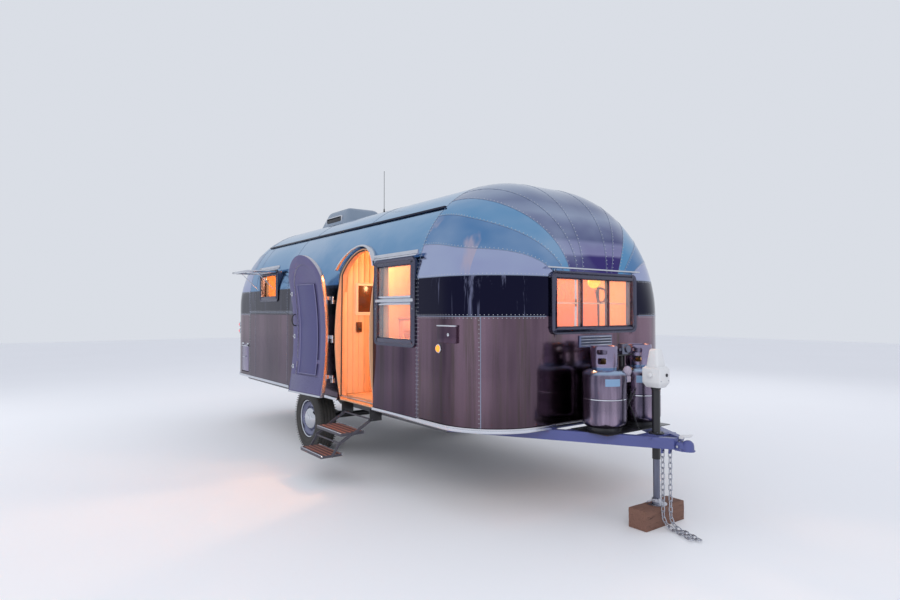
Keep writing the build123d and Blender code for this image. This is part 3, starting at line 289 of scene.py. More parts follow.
def roughTimber():
    wood = Finish("roughTimber")
    rings = wood.noise(14.0, 6.0, 0.65, wood.stretched((5.0, 0.5, 5.0)))
    cracks = wood.noise(30.0, 5.0, 0.7, wood.stretched((3.0, 0.3, 3.0)))
    colour = wood.mix(rings, rgb(0.11, 0.050, 0.038), rgb(0.27, 0.145, 0.105))
    return wood.feed(Base_Color=wood.mix(cracks > 0.62, colour, rgb(0.05, 0.024, 0.018)),
                     Roughness=wood.between(rings, 0.75, 0.95), Normal=wood.bump(rings + cracks, 0.5, 0.003))


def glassPane():
    pane = Finish("glassPane", IOR=1.45)
    smear = pane.noise(5.0, 2.0)
    pane.material.surface_render_method = "BLENDED"
    return pane.feed(Base_Color=pane.mix(smear, rgb(0.55, 0.60, 0.64), rgb(0.70, 0.74, 0.77)),
                     Roughness=pane.between(smear, 0.02, 0.05), Alpha=pane.between(smear, 0.14, 0.20))


def weave(name, colour, threads=900.0):
    cloth = Finish(name, Sheen_Weight=0.3)
    warp = cloth.noise(threads, 2.0, 0.5, cloth.stretched((1.0, 1.0, 0.15)))
    weft = cloth.noise(threads, 2.0, 0.5, cloth.stretched((0.15, 0.15, 1.0)))
    fade = cloth.noise(3.0, 2.0)
    tint = cloth.mix(fade, rgb(*[c * 0.8 for c in colour]), rgb(*colour))
    return cloth.feed(Base_Color=tint, Roughness=cloth.between(fade, 0.75, 0.92),
                      Normal=cloth.bump(warp + weft, 0.3, 0.0006))


def glowing(name, colour, strength, base):
    lens = Finish(name, Emission_Strength=strength)
    ribs = lens.noise(80.0, 2.0)
    return lens.feed(Base_Color=lens.mix(ribs, rgb(*[c * 0.8 for c in base]), rgb(*base)),
                     Emission_Color=lens.mix(ribs, rgb(*[c * 0.8 for c in colour]), rgb(*colour)),
                     Roughness=lens.between(ribs, 0.12, 0.25))


def tyreRubber():
    rubber = Finish("tyreRubber")
    dust = rubber.noise(12.0, 4.0, 0.6)
    fine = rubber.noise(220.0, 2.0)
    return rubber.feed(Base_Color=rubber.mix(dust, rgb(0.018, 0.018, 0.019), rgb(0.07, 0.065, 0.058)),
                       Roughness=rubber.between(dust, 0.62, 0.88), Normal=rubber.bump(fine, 0.3, 0.0006))


finishes = dict(
    skin=polishedSkin(),
    trim=plainMetal("darkTrim", (0.12, 0.12, 0.17), 0.2, 0.32),
    bright=plainMetal("brightTrim", (0.70, 0.72, 0.78), 0.10, 0.22),
    brightLine=plainMetal("rubLine", (0.80, 0.80, 0.84), 0.10, 0.2),
    lap=plainMetal("seamLap", (0.34, 0.40, 0.52), 0.2, 0.32),
    lining=panelling(),
    liningPale=gloss("palePanel", (0.86, 0.55, 0.32), 0.35, 0.5, 0.82),
    cream=gloss("creamTrim", (0.85, 0.70, 0.50), 0.35, 0.5, 0.9),
    counter=gloss("counterTop", (0.60, 0.30, 0.17), 0.18, 0.3, 0.8, coat=0.4),
    steelBlue=gloss("frameBlue", (0.085, 0.10, 0.30), 0.28, 0.42, 0.7, coat=0.3),
    plateBlue=gloss("louvreBlue", (0.16, 0.19, 0.33), 0.3, 0.45, 0.75),
    black=gloss("blackPaint", (0.018, 0.018, 0.022), 0.25, 0.42, 0.6, coat=0.2),
    white=gloss("whitePlastic", (0.72, 0.72, 0.72), 0.30, 0.42, 0.93),
    zinc=plainMetal("zincPlate", (0.20, 0.21, 0.28), 0.28, 0.48, 60.0),
    zincBright=plainMetal("chainZinc", (0.56, 0.57, 0.63), 0.2, 0.36, 150.0),
    tank=tankMetal(),
    brass=plainMetal("brassFitting", (0.62, 0.45, 0.19), 0.22, 0.36),
    chrome=plainMetal("chrome", (0.66, 0.68, 0.73), 0.05, 0.12),
    regulator=gloss("regulatorCase", (0.46, 0.40, 0.50), 0.3, 0.45, 0.9),
    paper=gloss("blankLabel", (0.22, 0.36, 0.55), 0.4, 0.55, 0.85),
    timber=roughTimber(),
    glass=glassPane(),
    rubber=tyreRubber(),
    red=glowing("redLens", (1.0, 0.03, 0.04), 1.1, (0.45, 0.01, 0.01)),
    amber=glowing("amberLens", (1.0, 0.30, 0.02), 1.4, (0.70, 0.22, 0.02)),
    lampGlow=glowing("lampShade", (1.0, 0.55, 0.02), 1.4, (0.8, 0.5, 0.05)),
    underside=plainMetal("dullSheet", (0.22, 0.22, 0.24), 0.4, 0.6),
    lino=gloss("floorSheet", (0.62, 0.36, 0.20), 0.4, 0.55, 0.7),
    doorInner=gloss("doorInner", (0.105, 0.095, 0.215), 0.38, 0.5, 0.85),
    doorPanel=gloss("doorPanel", (0.070, 0.068, 0.185), 0.40, 0.52, 0.88),
    doorTrim=gloss("doorTrim", (0.19, 0.18, 0.33), 0.3, 0.42, 0.9),
    doorKick=plainMetal("kickPlate", (0.20, 0.19, 0.34), 0.22, 0.36),
    # bright finish for the door leaf's edge: painted highlight
    edgeHighlight=plainMetal("doorEdgeHighlight", (0.62, 0.60, 0.66), 0.2, 0.32),
    jamb=gloss("doorJamb", (0.74, 0.42, 0.24), 0.3, 0.45, 0.8),
    screen=gloss("darkScreen", (0.10, 0.035, 0.015), 0.12, 0.2, 0.8),
    dark=gloss("darkPlastic", (0.03, 0.03, 0.035), 0.45, 0.6, 0.7),
    rail=plainMetal("darkRail", (0.05, 0.05, 0.075), 0.25, 0.4),
    unit=gloss("roofUnit", (0.20, 0.26, 0.34), 0.28, 0.42, 0.85),
    serviceDoor=plainMetal("serviceSheet", (0.34, 0.30, 0.42), 0.2, 0.32),
    wheelPaint=plainMetal("wheelPaint", (0.24, 0.25, 0.36), 0.15, 0.3),
    stepFrame=gloss("stepFrame", (0.08, 0.075, 0.095), 0.35, 0.5, 0.8),
    treadRib=gloss("treadRib", (0.36, 0.14, 0.10), 0.4, 0.6, 0.7),
    # darker copy of the tread rib colour: painted shade between the reddish ribs
    treadShadeRib=gloss("treadShadeRib", (0.10, 0.05, 0.045), 0.5, 0.7, 0.7),
    twig=gloss("wreathTwig", (0.20, 0.09, 0.04), 0.6, 0.8, 0.6),
    curtain=weave("curtainCloth", (0.80, 0.36, 0.15)),
    cloth=weave("padCloth", (0.66, 0.36, 0.22), 600.0),
)
print("finishes made")


# Modelling helpers
def deselect():
    bpy.ops.object.select_all(action="DESELECT")


def activate(piece):
    deselect()
    piece.select_set(True)
    bpy.context.view_layer.objects.active = piece


def bake(piece):
    activate(piece)
    bpy.ops.object.transform_apply(location=True, rotation=True, scale=True)
    return piece


def applyAll(piece):
    activate(piece)
    for modifier in list(piece.modifiers):
        bpy.ops.object.modifier_apply(modifier=modifier.name)


def meshPiece(name, points, faces, edges=()):
    mesh = bpy.data.meshes.new(name)
    mesh.from_pydata([tuple(p) for p in points], list(edges), faces)
    piece = bpy.data.objects.new(name, mesh)
    scene.collection.objects.link(piece)
    return piece


def boxPiece(name, low, high, bevel=0.0, segments=2):
    low, high = Vector(low), Vector(high)
    deselect()
    bpy.ops.mesh.primitive_cube_add(size=1, location=(low + high) / 2)
    piece = bpy.context.object
    piece.scale = high - low
    bake(piece)
    if bevel:
        bpy.ops.object.mode_set(mode="EDIT")
        bpy.ops.mesh.select_all(action="SELECT")
        bpy.ops.mesh.bevel(offset=bevel, segments=segments, affect="EDGES")
        bpy.ops.object.mode_set(mode="OBJECT")
    piece.name = name
    return piece


def cut(piece, cutter):
    modifier = piece.modifiers.new("cut", "BOOLEAN")
    modifier.operation = "DIFFERENCE"
    modifier.solver = "EXACT"
    modifier.object = cutter
    applyAll(piece)
    bpy.data.objects.remove(cutter)


def editAll(piece, *steps):
    activate(piece)
    bpy.ops.object.mode_set(mode="EDIT")
    bpy.ops.mesh.select_mode(type="VERT")
    bpy.ops.mesh.select_all(action="SELECT")
    for step in steps:
        step()
    bpy.ops.object.mode_set(mode="OBJECT")
    return piece


def mergeAndTurnOut():
    bpy.ops.mesh.remove_doubles(threshold=0.00005)
    bpy.ops.mesh.normals_make_consistent(inside=False)


def pick(piece, kind, test):
    # selects what passes the test by its place and its normal or run, and stays in edit mode
    activate(piece)
    bpy.ops.object.mode_set(mode="EDIT")
    bpy.ops.mesh.select_mode(type=kind)
    bpy.ops.mesh.select_all(action="DESELECT")
    bpy.ops.object.mode_set(mode="OBJECT")
    mesh = piece.data
    if kind == "FACE":
        for face in mesh.polygons:
            face.select = bool(test(face.center, face.normal))
    elif kind == "EDGE":
        for edge in mesh.edges:
            a, b = (mesh.vertices[v].co for v in edge.vertices)
            edge.select = bool(test((a + b) / 2, (b - a).normalized()))
    else:
        for point in mesh.vertices:
            point.select = bool(test(point.co, point.normal))
    bpy.ops.object.mode_set(mode="EDIT")


def done():
    bpy.ops.mesh.select_mode(type="VERT")
    bpy.ops.object.mode_set(mode="OBJECT")


def soften(piece, width, segments=2, angle=30):
    bevel = piece.modifiers.new("soft", "BEVEL")
    bevel.width = width
    bevel.segments = segments
    bevel.limit_method = "ANGLE"
    bevel.angle_limit = math.radians(angle)
    applyAll(piece)
    return piece


def paint(piece, finish):
    piece.data.materials.clear()
    piece.data.materials.append(finishes[finish])
    return piece


def add(parts, finish, piece):
    parts.append(paint(piece, finish))


def lathe(name, profile, centre, axis=(0, 0, 1), steps=40, closed=False):
    # profile holds (radius, height along the axis)
    axis = Vector(axis).normalized()
    helper = Vector((1, 0, 0)) if abs(axis.x) < 0.9 else Vector((0, 1, 0))
    out = (helper - axis * helper.dot(axis)).normalized()
    centre = Vector(centre)
    points = [centre + out * r + axis * h for r, h in profile]
    edges = [(k, k + 1) for k in range(len(points) - 1)]
    if closed:
        edges.append((len(points) - 1, 0))
    piece = meshPiece(name, points, [], edges)
    return editAll(piece, lambda: bpy.ops.mesh.spin(steps=steps, angle=math.tau, center=centre, axis=axis),
                   mergeAndTurnOut)


def tube(name, points, radius, sides=3, cyclic=False, smooth=True):
    curve = bpy.data.curves.new(name, "CURVE")
    curve.dimensions = "3D"
    curve.bevel_depth = radius
    curve.bevel_resolution = sides
    curve.use_fill_caps = True
    spline = curve.splines.new("BEZIER" if smooth else "POLY")
    spline.use_cyclic_u = cyclic
    if smooth:
        spline.bezier_points.add(len(points) - 1)
        for point, place in zip(spline.bezier_points, points):
            point.co = place
            point.handle_left_type = point.handle_right_type = "AUTO"
        curve.resolution_u = 6
    else:
        spline.points.add(len(points) - 1)
        for point, place in zip(spline.points, points):
            point.co = (*place, 1)
    piece = bpy.data.objects.new(name, curve)
    scene.collection.objects.link(piece)
    activate(piece)
    bpy.ops.object.convert(target="MESH")
    return editAll(bpy.context.object, mergeAndTurnOut)


def drum(name, centre, radius, height, axis=(0, 0, 1), bevel=0.0, steps=28):
    lift = Vector(axis).normalized() * height / 2
    deselect()
    bpy.ops.mesh.primitive_cylinder_add(
        vertices=steps, radius=radius, depth=height, location=Vector(centre) + lift,
        rotation=Vector(axis).to_track_quat("Z", "Y").to_euler())
    piece = bake(bpy.context.object)
    piece.name = name
    return soften(piece, bevel, 2, 50) if bevel else piece


def dome(name, centre, radius, height, axis=(0, 0, 1), steps=28, rings=6):
    profile = [(radius, -0.004)]
    profile += [(radius * math.cos(math.radians(90 * k / rings)), height * math.sin(math.radians(90 * k / rings)))
                for k in range(rings)] + [(0, height)]
    return lathe(name, profile, centre, axis, steps)


def joined(name, pieces):
    pieces = list(pieces)
    if len(pieces) > 1:
        deselect()
        for piece in pieces:
            piece.select_set(True)
        bpy.context.view_layer.objects.active = pieces[0]
        bpy.ops.object.join()
    piece = pieces[0]
    piece.name = name
    return piece


def finished(name, body, pieces, replaced=(), angle=32):
    piece = joined(name, pieces)
    bake(piece)
    bpy.ops.object.shade_smooth_by_angle(angle=math.radians(angle))
    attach(piece, body)
    if replaced:
        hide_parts(*replaced)
    return piece


def twin(piece, move=(0, 0, 0), mirror=None):
    copy = bpy.data.objects.new(piece.name, piece.data.copy())
    scene.collection.objects.link(copy)
    if mirror is not None:
        flip = Matrix.Identity(4)
        flip[mirror][mirror] = -1
        copy.data.transform(flip)
        copy.data.flip_normals()
    copy.data.transform(Matrix.Translation(move))
    return copy


def shaped(node, bevel=0.002, segments=2, angle=35, dissolve=2.0):
    # a copy of a node's own mesh, merged and with its edges softened
    copy = bpy.data.objects.new(node, nodes[node].data.copy())
    scene.collection.objects.link(copy)
    editAll(copy, lambda: bpy.ops.mesh.remove_doubles(threshold=0.00003),
            lambda: bpy.ops.mesh.dissolve_limited(angle_limit=math.radians(dissolve)))
    return soften(copy, bevel, segments, angle) if bevel else copy


def dressed(name, node, finish, bevel, segments=2, angle=32, rider="body"):
    # a node that keeps its own form, with softer edges and its finish
    return finished(name, rider, [paint(shaped(node, bevel, segments), finish)], (node,), angle)


def roundedBox(name, low, high, radius, axis, soft=0.0):
    piece = roundedCutter(low, high, radius, axis)
    piece.name = name
    return soften(piece, soft, 2, 50) if soft else piece


def ringFrame(name, low, high, bar, radius, axis, soft=0.0):
    # both ends are inset and joined by a tunnel
    ring = roundedBox(name, low, high, max(radius, bar + 0.006), axis)
    pick(ring, "FACE", lambda place, normal: abs(normal[axis]) > 0.9)
    bpy.ops.mesh.inset(thickness=bar)
    bpy.ops.mesh.bridge_edge_loops()
    done()
    for point in ring.data.vertices:
        point.co[axis] = min(max(point.co[axis], low[axis]), high[axis])
    editAll(ring, lambda: bpy.ops.mesh.normals_make_consistent(inside=False))
    return soften(ring, soft, 2, 50) if soft else ring


def sideBox(name, side, x0, x1, near, far, z0, z1, bevel=0.0):
    # a box on one side of the body, near and far being distances from the centre plane
    ys = sorted((side * near, side * far))
    return boxPiece(name, (x0, ys[0], z0), (x1, ys[1], z1), bevel)


# The body's skin
def sizesAt(x):
    behind = max(0.0, min(body["nose"] - x, x - body["tail"]))
    plan = max(body["corner"] - behind, 0.0)
    rise = max(body["brow"] - behind, 0.0)
    half = body["half"] - body["corner"] + math.sqrt(body["corner"] ** 2 - plan ** 2)
    high = body["crown"] - body["brow"] + math.sqrt(body["brow"] ** 2 - rise ** 2)
    growth = (half - body["half"] + body["corner"]) / body["corner"]
    return half, high, body["face"] + (body["shoulder"] - body["face"]) * growth


def skinPoint(x, stretch, share):
    # stretch 0 is the straight side, 1 the shoulder's arc, 2 the flat crown; share runs 0 to 1 along it
    half, high, shoulder = sizesAt(x)
    side = high - shoulder
    if stretch == 0:
        return Vector((x, half, body["base"] + (side - body["base"]) * share))
    if stretch == 1:
        turn = share * math.pi / 2
        return Vector((x, half - shoulder + shoulder * math.cos(turn), side + shoulder * math.sin(turn)))
    return Vector((x, (half - shoulder) * (1 - share), high))


def sideAt(x, z):
    half, high, shoulder = sizesAt(x)
    rise = z - (high - shoulder)
    if rise <= 0:
        return half
    return half - shoulder + math.sqrt(max(shoulder ** 2 - rise ** 2, 0.0))


def capStations(end, towards):
    places = [body["corner"] * (1 - math.cos(math.radians(a))) for a in range(0, 91, 6)]
    places += [body["corner"] + (capLength - body["corner"]) * k / 5 for k in range(1, 6)]
    return [end + towards * p for p in places]


seamShare = math.asin((body["roofSeam"] - (body["crown"] - body["shoulder"])) / body["shoulder"]) / (math.pi / 2)
wallColumns = [(0, k / 10) for k in range(10)] + [(1, seamShare * k / 12) for k in range(13)]
roofColumns = [(1, seamShare + (1 - seamShare) * k / 12) for k in range(12)] + [(2, k / 4) for k in range(5)]
fullColumns = wallColumns[:-1] + roofColumns


def skinPatch(name, stations, columns, sides, capped=False):
    rows, spots = [], []
    turns = [(0, 90 * share, 90 + 90 * share)[stretch] / 180 for stretch, share in columns]
    turns = turns + turns[-2::-1] if sides == "both" else turns
    for x in stations:
        behind = min(body["nose"] - x, x - body["tail"], capLength)
        spots += [(turn, 1 - (behind / capLength) ** (1 / 1.6)) for turn in turns]
        one = [skinPoint(x, *column) for column in columns]
        right = [Vector((p.x, -p.y, p.z)) for p in one]
        if sides == "both":
            rows.append(right + one[-2::-1])
        else:
            rows.append(one if sides == "left" else right)
    wide = len(rows[0])
    points = [p for row in rows for p in row]
    faces = [
        (r * wide + c, r * wide + c + 1, (r + 1) * wide + c + 1, (r + 1) * wide + c)
        for r in range(len(rows) - 1) for c in range(wide - 1)
    ]
    if capped:
        faces.append(tuple(range(wide)))
    patch = meshPiece(name, points, faces)
    layer = patch.data.uv_layers.new(name="panelPlace")
    for loop in patch.data.loops:
        layer.data[loop.index].uv = spots[loop.vertex_index]
    editAll(patch, mergeAndTurnOut)
    middle = Vector(((body["nose"] + body["tail"]) / 2, 0, 0.9))
    lead = max(patch.data.polygons, key=lambda f: f.area)
    if (lead.center - middle).dot(lead.normal) < 0:
        patch.data.flip_normals()
    thick = patch.modifiers.new("wall", "SOLIDIFY")
    thick.thickness = body["wall"]
    thick.offset = -1
    thick.use_even_offset = True
    thick.material_offset = 1
    thick.material_offset_rim = 2
    patch.data.materials.append(finishes["skin"])
    patch.data.materials.append(finishes["lining"])
    patch.data.materials.append(finishes["trim"])
    applyAll(patch)
    return patch


def roundedCutter(low, high, radius, axis):
    cutter = boxPiece("cutter", low, high)
    activate(cutter)
    bpy.ops.object.mode_set(mode="EDIT")
    bpy.ops.mesh.select_all(action="DESELECT")
    bpy.ops.object.mode_set(mode="OBJECT")
    for edge in cutter.data.edges:
        run = cutter.data.vertices[edge.vertices[0]].co - cutter.data.vertices[edge.vertices[1]].co
        edge.select = abs(run[axis]) > 1e-4
    bpy.ops.object.mode_set(mode="EDIT")
    bpy.ops.mesh.select_mode(type="EDGE")
    bpy.ops.mesh.bevel(offset=radius, segments=5, affect="EDGES")
    bpy.ops.object.mode_set(mode="OBJECT")
    return cutter


windows = dict(
    endHalf=0.50, endLow=above(1.34), endHigh=above(1.81), corner=0.045,
    sides=(
        (-1, -2.29, -1.66, above(1.23), above(1.94)),
        (-1, -5.25, -4.65, above(1.64), above(2.00)),
        (1, -2.29, -1.66, above(1.23), above(1.94)),
        (1, -3.40, -2.80, above(1.45), above(1.94)),
        (1, -5.25, -4.65, above(1.45), above(1.94)),
    ),
)
doorway = dict(rear=-3.04, front=-2.34, top=above(2.10), spring=above(1.88))
wheelArch = dict(x=-3.85, half=0.43, flat=0.31, top=above(0.80))


def prism(name, outline, y0, y1):
    count = len(outline)
    points = [(x, y0, z) for x, z in outline] + [(x, y1, z) for x, z in outline]
    faces = [tuple(range(count)), tuple(range(2 * count - 1, count - 1, -1))]
    faces += [(k, (k + 1) % count, count + (k + 1) % count, count + k) for k in range(count)]
    piece = meshPiece(name, points, faces)
    return editAll(piece, lambda: bpy.ops.mesh.normals_make_consistent(inside=False))


def archOutline(inset, low, steps=24):
    x0, x1 = doorway["rear"] + inset, doorway["front"] - inset
    half = (x1 - x0) / 2
    rise = doorway["top"] - doorway["spring"]
    radius = (half ** 2 + rise ** 2) / (2 * rise)
    middle = (x0 + x1) / 2
    centre = doorway["top"] - inset - radius
    reach = math.asin(half / radius)
    arc = [(middle + radius * math.sin(reach - 2 * reach * k / steps),
            centre + radius * math.cos(reach - 2 * reach * k / steps)) for k in range(steps + 1)]
    return [(x0, low), (x1, low)] + arc


def makeShell():
    front = capStations(body["nose"], -1)
    rear = capStations(body["tail"], 1)
    between = [body["rearSeam"] + (body["frontSeam"] - body["rearSeam"]) * k / 16 for k in range(17)]
    frontCap = skinPatch("frontCapSkin", front, fullColumns, "both", True)
    rearCap = skinPatch("rearCapSkin", rear, fullColumns, "both", True)
    rightWall = skinPatch("rightWallSkin", between, wallColumns, "right")
    leftWall = skinPatch("leftWallSkin", between, wallColumns, "left")
    roof = skinPatch("roofSkin", between, roofColumns, "both")
    for cap, end in ((frontCap, body["nose"]), (rearCap, body["tail"])):
        cut(cap, roundedCutter(
            (end - 0.2, -windows["endHalf"], windows["endLow"]),
            (end + 0.2, windows["endHalf"], windows["endHigh"]), windows["corner"], 0))
    for side, x0, x1, low, high in windows["sides"]:
        wall = rightWall if side < 0 else leftWall
        ys = sorted((side * (body["half"] - 0.3), side * (body["half"] + 0.1)))
        cut(wall, roundedCutter((x0, ys[0], low), (x1, ys[1], high), windows["corner"], 1))
    cut(rightWall, prism("cutter", archOutline(0, body["base"] - 0.05), -1.3, -0.8))
    arch = [(wheelArch["x"] - wheelArch["half"], body["base"] - 0.02),
            (wheelArch["x"] - wheelArch["flat"], wheelArch["top"]),
            (wheelArch["x"] + wheelArch["flat"], wheelArch["top"]),
            (wheelArch["x"] + wheelArch["half"], body["base"] - 0.02)]
    cut(rightWall, prism("cutter", arch, -1.3, -0.8))
    cut(leftWall, prism("cutter", arch, 0.8, 1.3))
    serviceLow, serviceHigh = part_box("rear_locker")
    cut(rearCap, boxPiece("cutter", (serviceLow.x + 0.009, -1.3, serviceLow.z + 0.009),
                          (serviceHigh.x - 0.01, -0.95, serviceHigh.z - 0.01)))
    for piece, node in ((frontCap, "front_cap"), (rearCap, "rear_cap"), (rightWall, "right_wall"),
                        (leftWall, "left_wall"), (roof, "roof")):
        activate(piece)
        bpy.ops.object.shade_smooth_by_angle(angle=math.radians(35))
        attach(piece, "body")
        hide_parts(node)
    print("shell made")


# Seams: lap strips with rivets beside them
rivets = []
seamPaths = []


def surfaceNormal(x, y, z):
    step = 0.004

    def inside(px, py, pz):
        half, high, shoulder = sizesAt(px)
        dy = abs(py) - (half - shoulder)
        dz = pz - (high - shoulder)
        if dy <= 0:
            return pz - high
        if dz <= 0:
            return abs(py) - half
        return math.hypot(dy, dz) - shoulder
    lean = inside(x + step, y, z) - inside(x - step, y, z)
    return Vector((lean / (2 * step), (inside(x, y + step, z) - inside(x, y - step, z)) / (2 * step),
                   (inside(x, y, z + step) - inside(x, y, z - step)) / (2 * step))).normalized()


def addSeam(path, rows=(0.012,), pitch=0.032, width=0.005, start=0.0):
    normals = [surfaceNormal(*p) for p in path]
    seamPaths.append((path, normals, width))
    for offset in rows:
        travelled = start
        for k in range(len(path) - 1):
            run = path[k + 1] - path[k]
            length = run.length
            while travelled < length:
                share = travelled / length
                normal = normals[k].lerp(normals[k + 1], share).normalized()
                place = path[k].lerp(path[k + 1], share)
                rivets.append((place + normal.cross(run.normalized()) * offset, normal))
                travelled += pitch
            travelled -= length


def levelSeam(z, x0, x1, side, steps=40):
    return [Vector((x, side * sideAt(x, z), z)) for x in (x0 + (x1 - x0) * k / steps for k in range(steps + 1))]


def roundNose(z, yEnd, end, side):
    # along the cap at one level, from its seam round the corner to a distance from the centre plane
    xs = [end + (1 if end < -3 else -1) * p for p in
          [capLength - (capLength - body["corner"]) * k / 6 for k in range(6)]
          + [body["corner"] * (1 - math.cos(math.radians(90 - 5 * k))) for k in range(19)]]
    path = [Vector((x, side * sideAt(x, z), z)) for x in xs]
    last = abs(path[-1].y)
    if last > yEnd:
        path.append(Vector((xs[-1], side * yEnd, z)))
    return path


def capSeam(end, towards, first, last, power, side):
    # first and last are the seam's angles on the shoulder at the cap's start and at its end face
    path = []
    for k in range(25):
        share = k / 24
        behind = capLength * (1 - share) ** 1.6
        turn = first + (last - first) * share ** power
        x = end + towards * behind
        if turn <= 90:
            p = skinPoint(x, 1, turn / 90)
        else:
            p = skinPoint(x, 2, (turn - 90) / 90)
        path.append(Vector((p.x, side * p.y, p.z)))
    return path


def makeSeams():
    belt, upper = levels["belt"], levels["band"]
    for side in (-1, 1):
        for end, towards in ((body["nose"], -1), (body["tail"], 1)):
            addSeam(roundNose(belt, 0.545, end, side), rows=(0.012, -0.012))
            addSeam(roundNose(upper, 0.545, end, side))
            for first, last, power in capSeams:
                addSeam(capSeam(end, towards, first, last, power, side))
            x = end + towards * 0.18
            addSeam([Vector((x, side * sideAt(x, z),
                             z)) for z in (body["base"] + (belt - body["base"]) * k / 6 for k in range(7))])
        for x in (body["frontSeam"], body["rearSeam"]):
            ring = [skinPoint(x, *c) for c in fullColumns]
            addSeam([Vector((p.x, side * p.y, p.z)) for p in ring], rows=(0.014, -0.014))
    for x0, x1 in ((body["rearSeam"], -3.78), (-2.335, -2.31), (-1.64, body["frontSeam"])):
        addSeam(levelSeam(belt + 0.03, x0, x1, -1, 20), rows=(0.012, -0.012))
    for x0, x1 in ((body["rearSeam"], -5.27), (-4.63, -3.42), (-2.78, -2.31), (-1.64, body["frontSeam"])):
        addSeam(levelSeam(belt + 0.03, x0, x1, 1, 20), rows=(0.012, -0.012))
    for side, xs in ((-1, (-4.35, -5.45)), (1, (-2.55, -3.62, -4.45))):
        for x in xs:
            ring = [skinPoint(x, *c) for c in wallColumns]
            addSeam([Vector((p.x, side * p.y, p.z)) for p in ring])
    for x in (-2.9, -4.2):
        ring = [skinPoint(x, *c) for c in roofColumns]
        addSeam([Vector((p.x, -p.y, p.z)) for p in ring] + [p for p in ring[-2::-1]])
    strips, stripFaces = [], []
    for path, normals, width in seamPaths:
        first = len(strips)
        for k, place in enumerate(path):
            ahead = path[min(k + 1, len(path) - 1)] - path[max(k - 1, 0)]
            across = normals[k].cross(ahead.normalized()).normalized() * width / 2
            lift = normals[k] * 0.0016
            strips += [place - across - lift * 2, place - across + lift, place + across + lift * 0.4,
                       place + across - lift * 2]
            if k:
                a, b = first + 4 * (k - 1), first + 4 * k
                stripFaces += [(a + j, a + (j + 1) % 4, b + (j + 1) % 4, b + j) for j in range(4)]
        end = first + 4 * (len(path) - 1)
        stripFaces += [(first + 3, first + 2, first + 1, first), (end, end + 1, end + 2, end + 3)]
    seams = meshPiece("seamLaps", strips, stripFaces)
    finished("seamLaps", "body", [paint(seams, "lap")], (), 30)
    print("seams made")


def makeRivets():
    points, faces = [], []
    for place, normal in rivets:
        first = len(points)
        helper = Vector((0, 0, 1)) if abs(normal.z) < 0.9 else Vector((1, 0, 0))
        across = normal.cross(helper).normalized()
        along = normal.cross(across)
        for radius, lift in ((0.0040, -0.002), (0.0038, 0.0006), (0.0021, 0.0018)):
            for k in range(6):
                turn = k * math.pi / 3
                points.append(place + normal * lift + (across * math.cos(turn) + along * math.sin(turn)) * radius)
        for ring in (first, first + 6):
            faces += [(ring + k, ring + (k + 1) % 6, ring + 6 + (k + 1) % 6, ring + 6 + k) for k in range(6)]
        faces += [tuple(first + 12 + k for k in range(6)), tuple(first + k for k in range(5, -1, -1))]
    heads = meshPiece("rivetHeads", points, faces)
    editAll(heads, lambda: bpy.ops.mesh.normals_make_consistent(inside=False))
    finished("rivetHeads", "body", [paint(heads, "bright")], (), 60)
    print(len(rivets), "rivets made")


# Windows: flanged dark frames with bright beads, drip caps and panes
# distances from the centre plane: inside, skin, proud, beads, glass, drip
sideWindow = dict(bar=0.020, flange=0.012, corner=0.05, inside=1.096, skin=1.138, proud=1.154, bead=0.007,
                  beads=(1.128, 1.149), glass=(1.134, 1.139), drip=(1.128, 1.1648), rail=above(1.60),
                  railHeight=0.026, railReach=(1.126, 1.157), dripReach=0.04, dripRivets=22)
endWindow = dict(bar=0.020, flange=0.004, corner=0.05, deep=0.045, proud=0.022, mullion=0.013, bead=0.006,
                 mullions=(-0.16, 0.16))


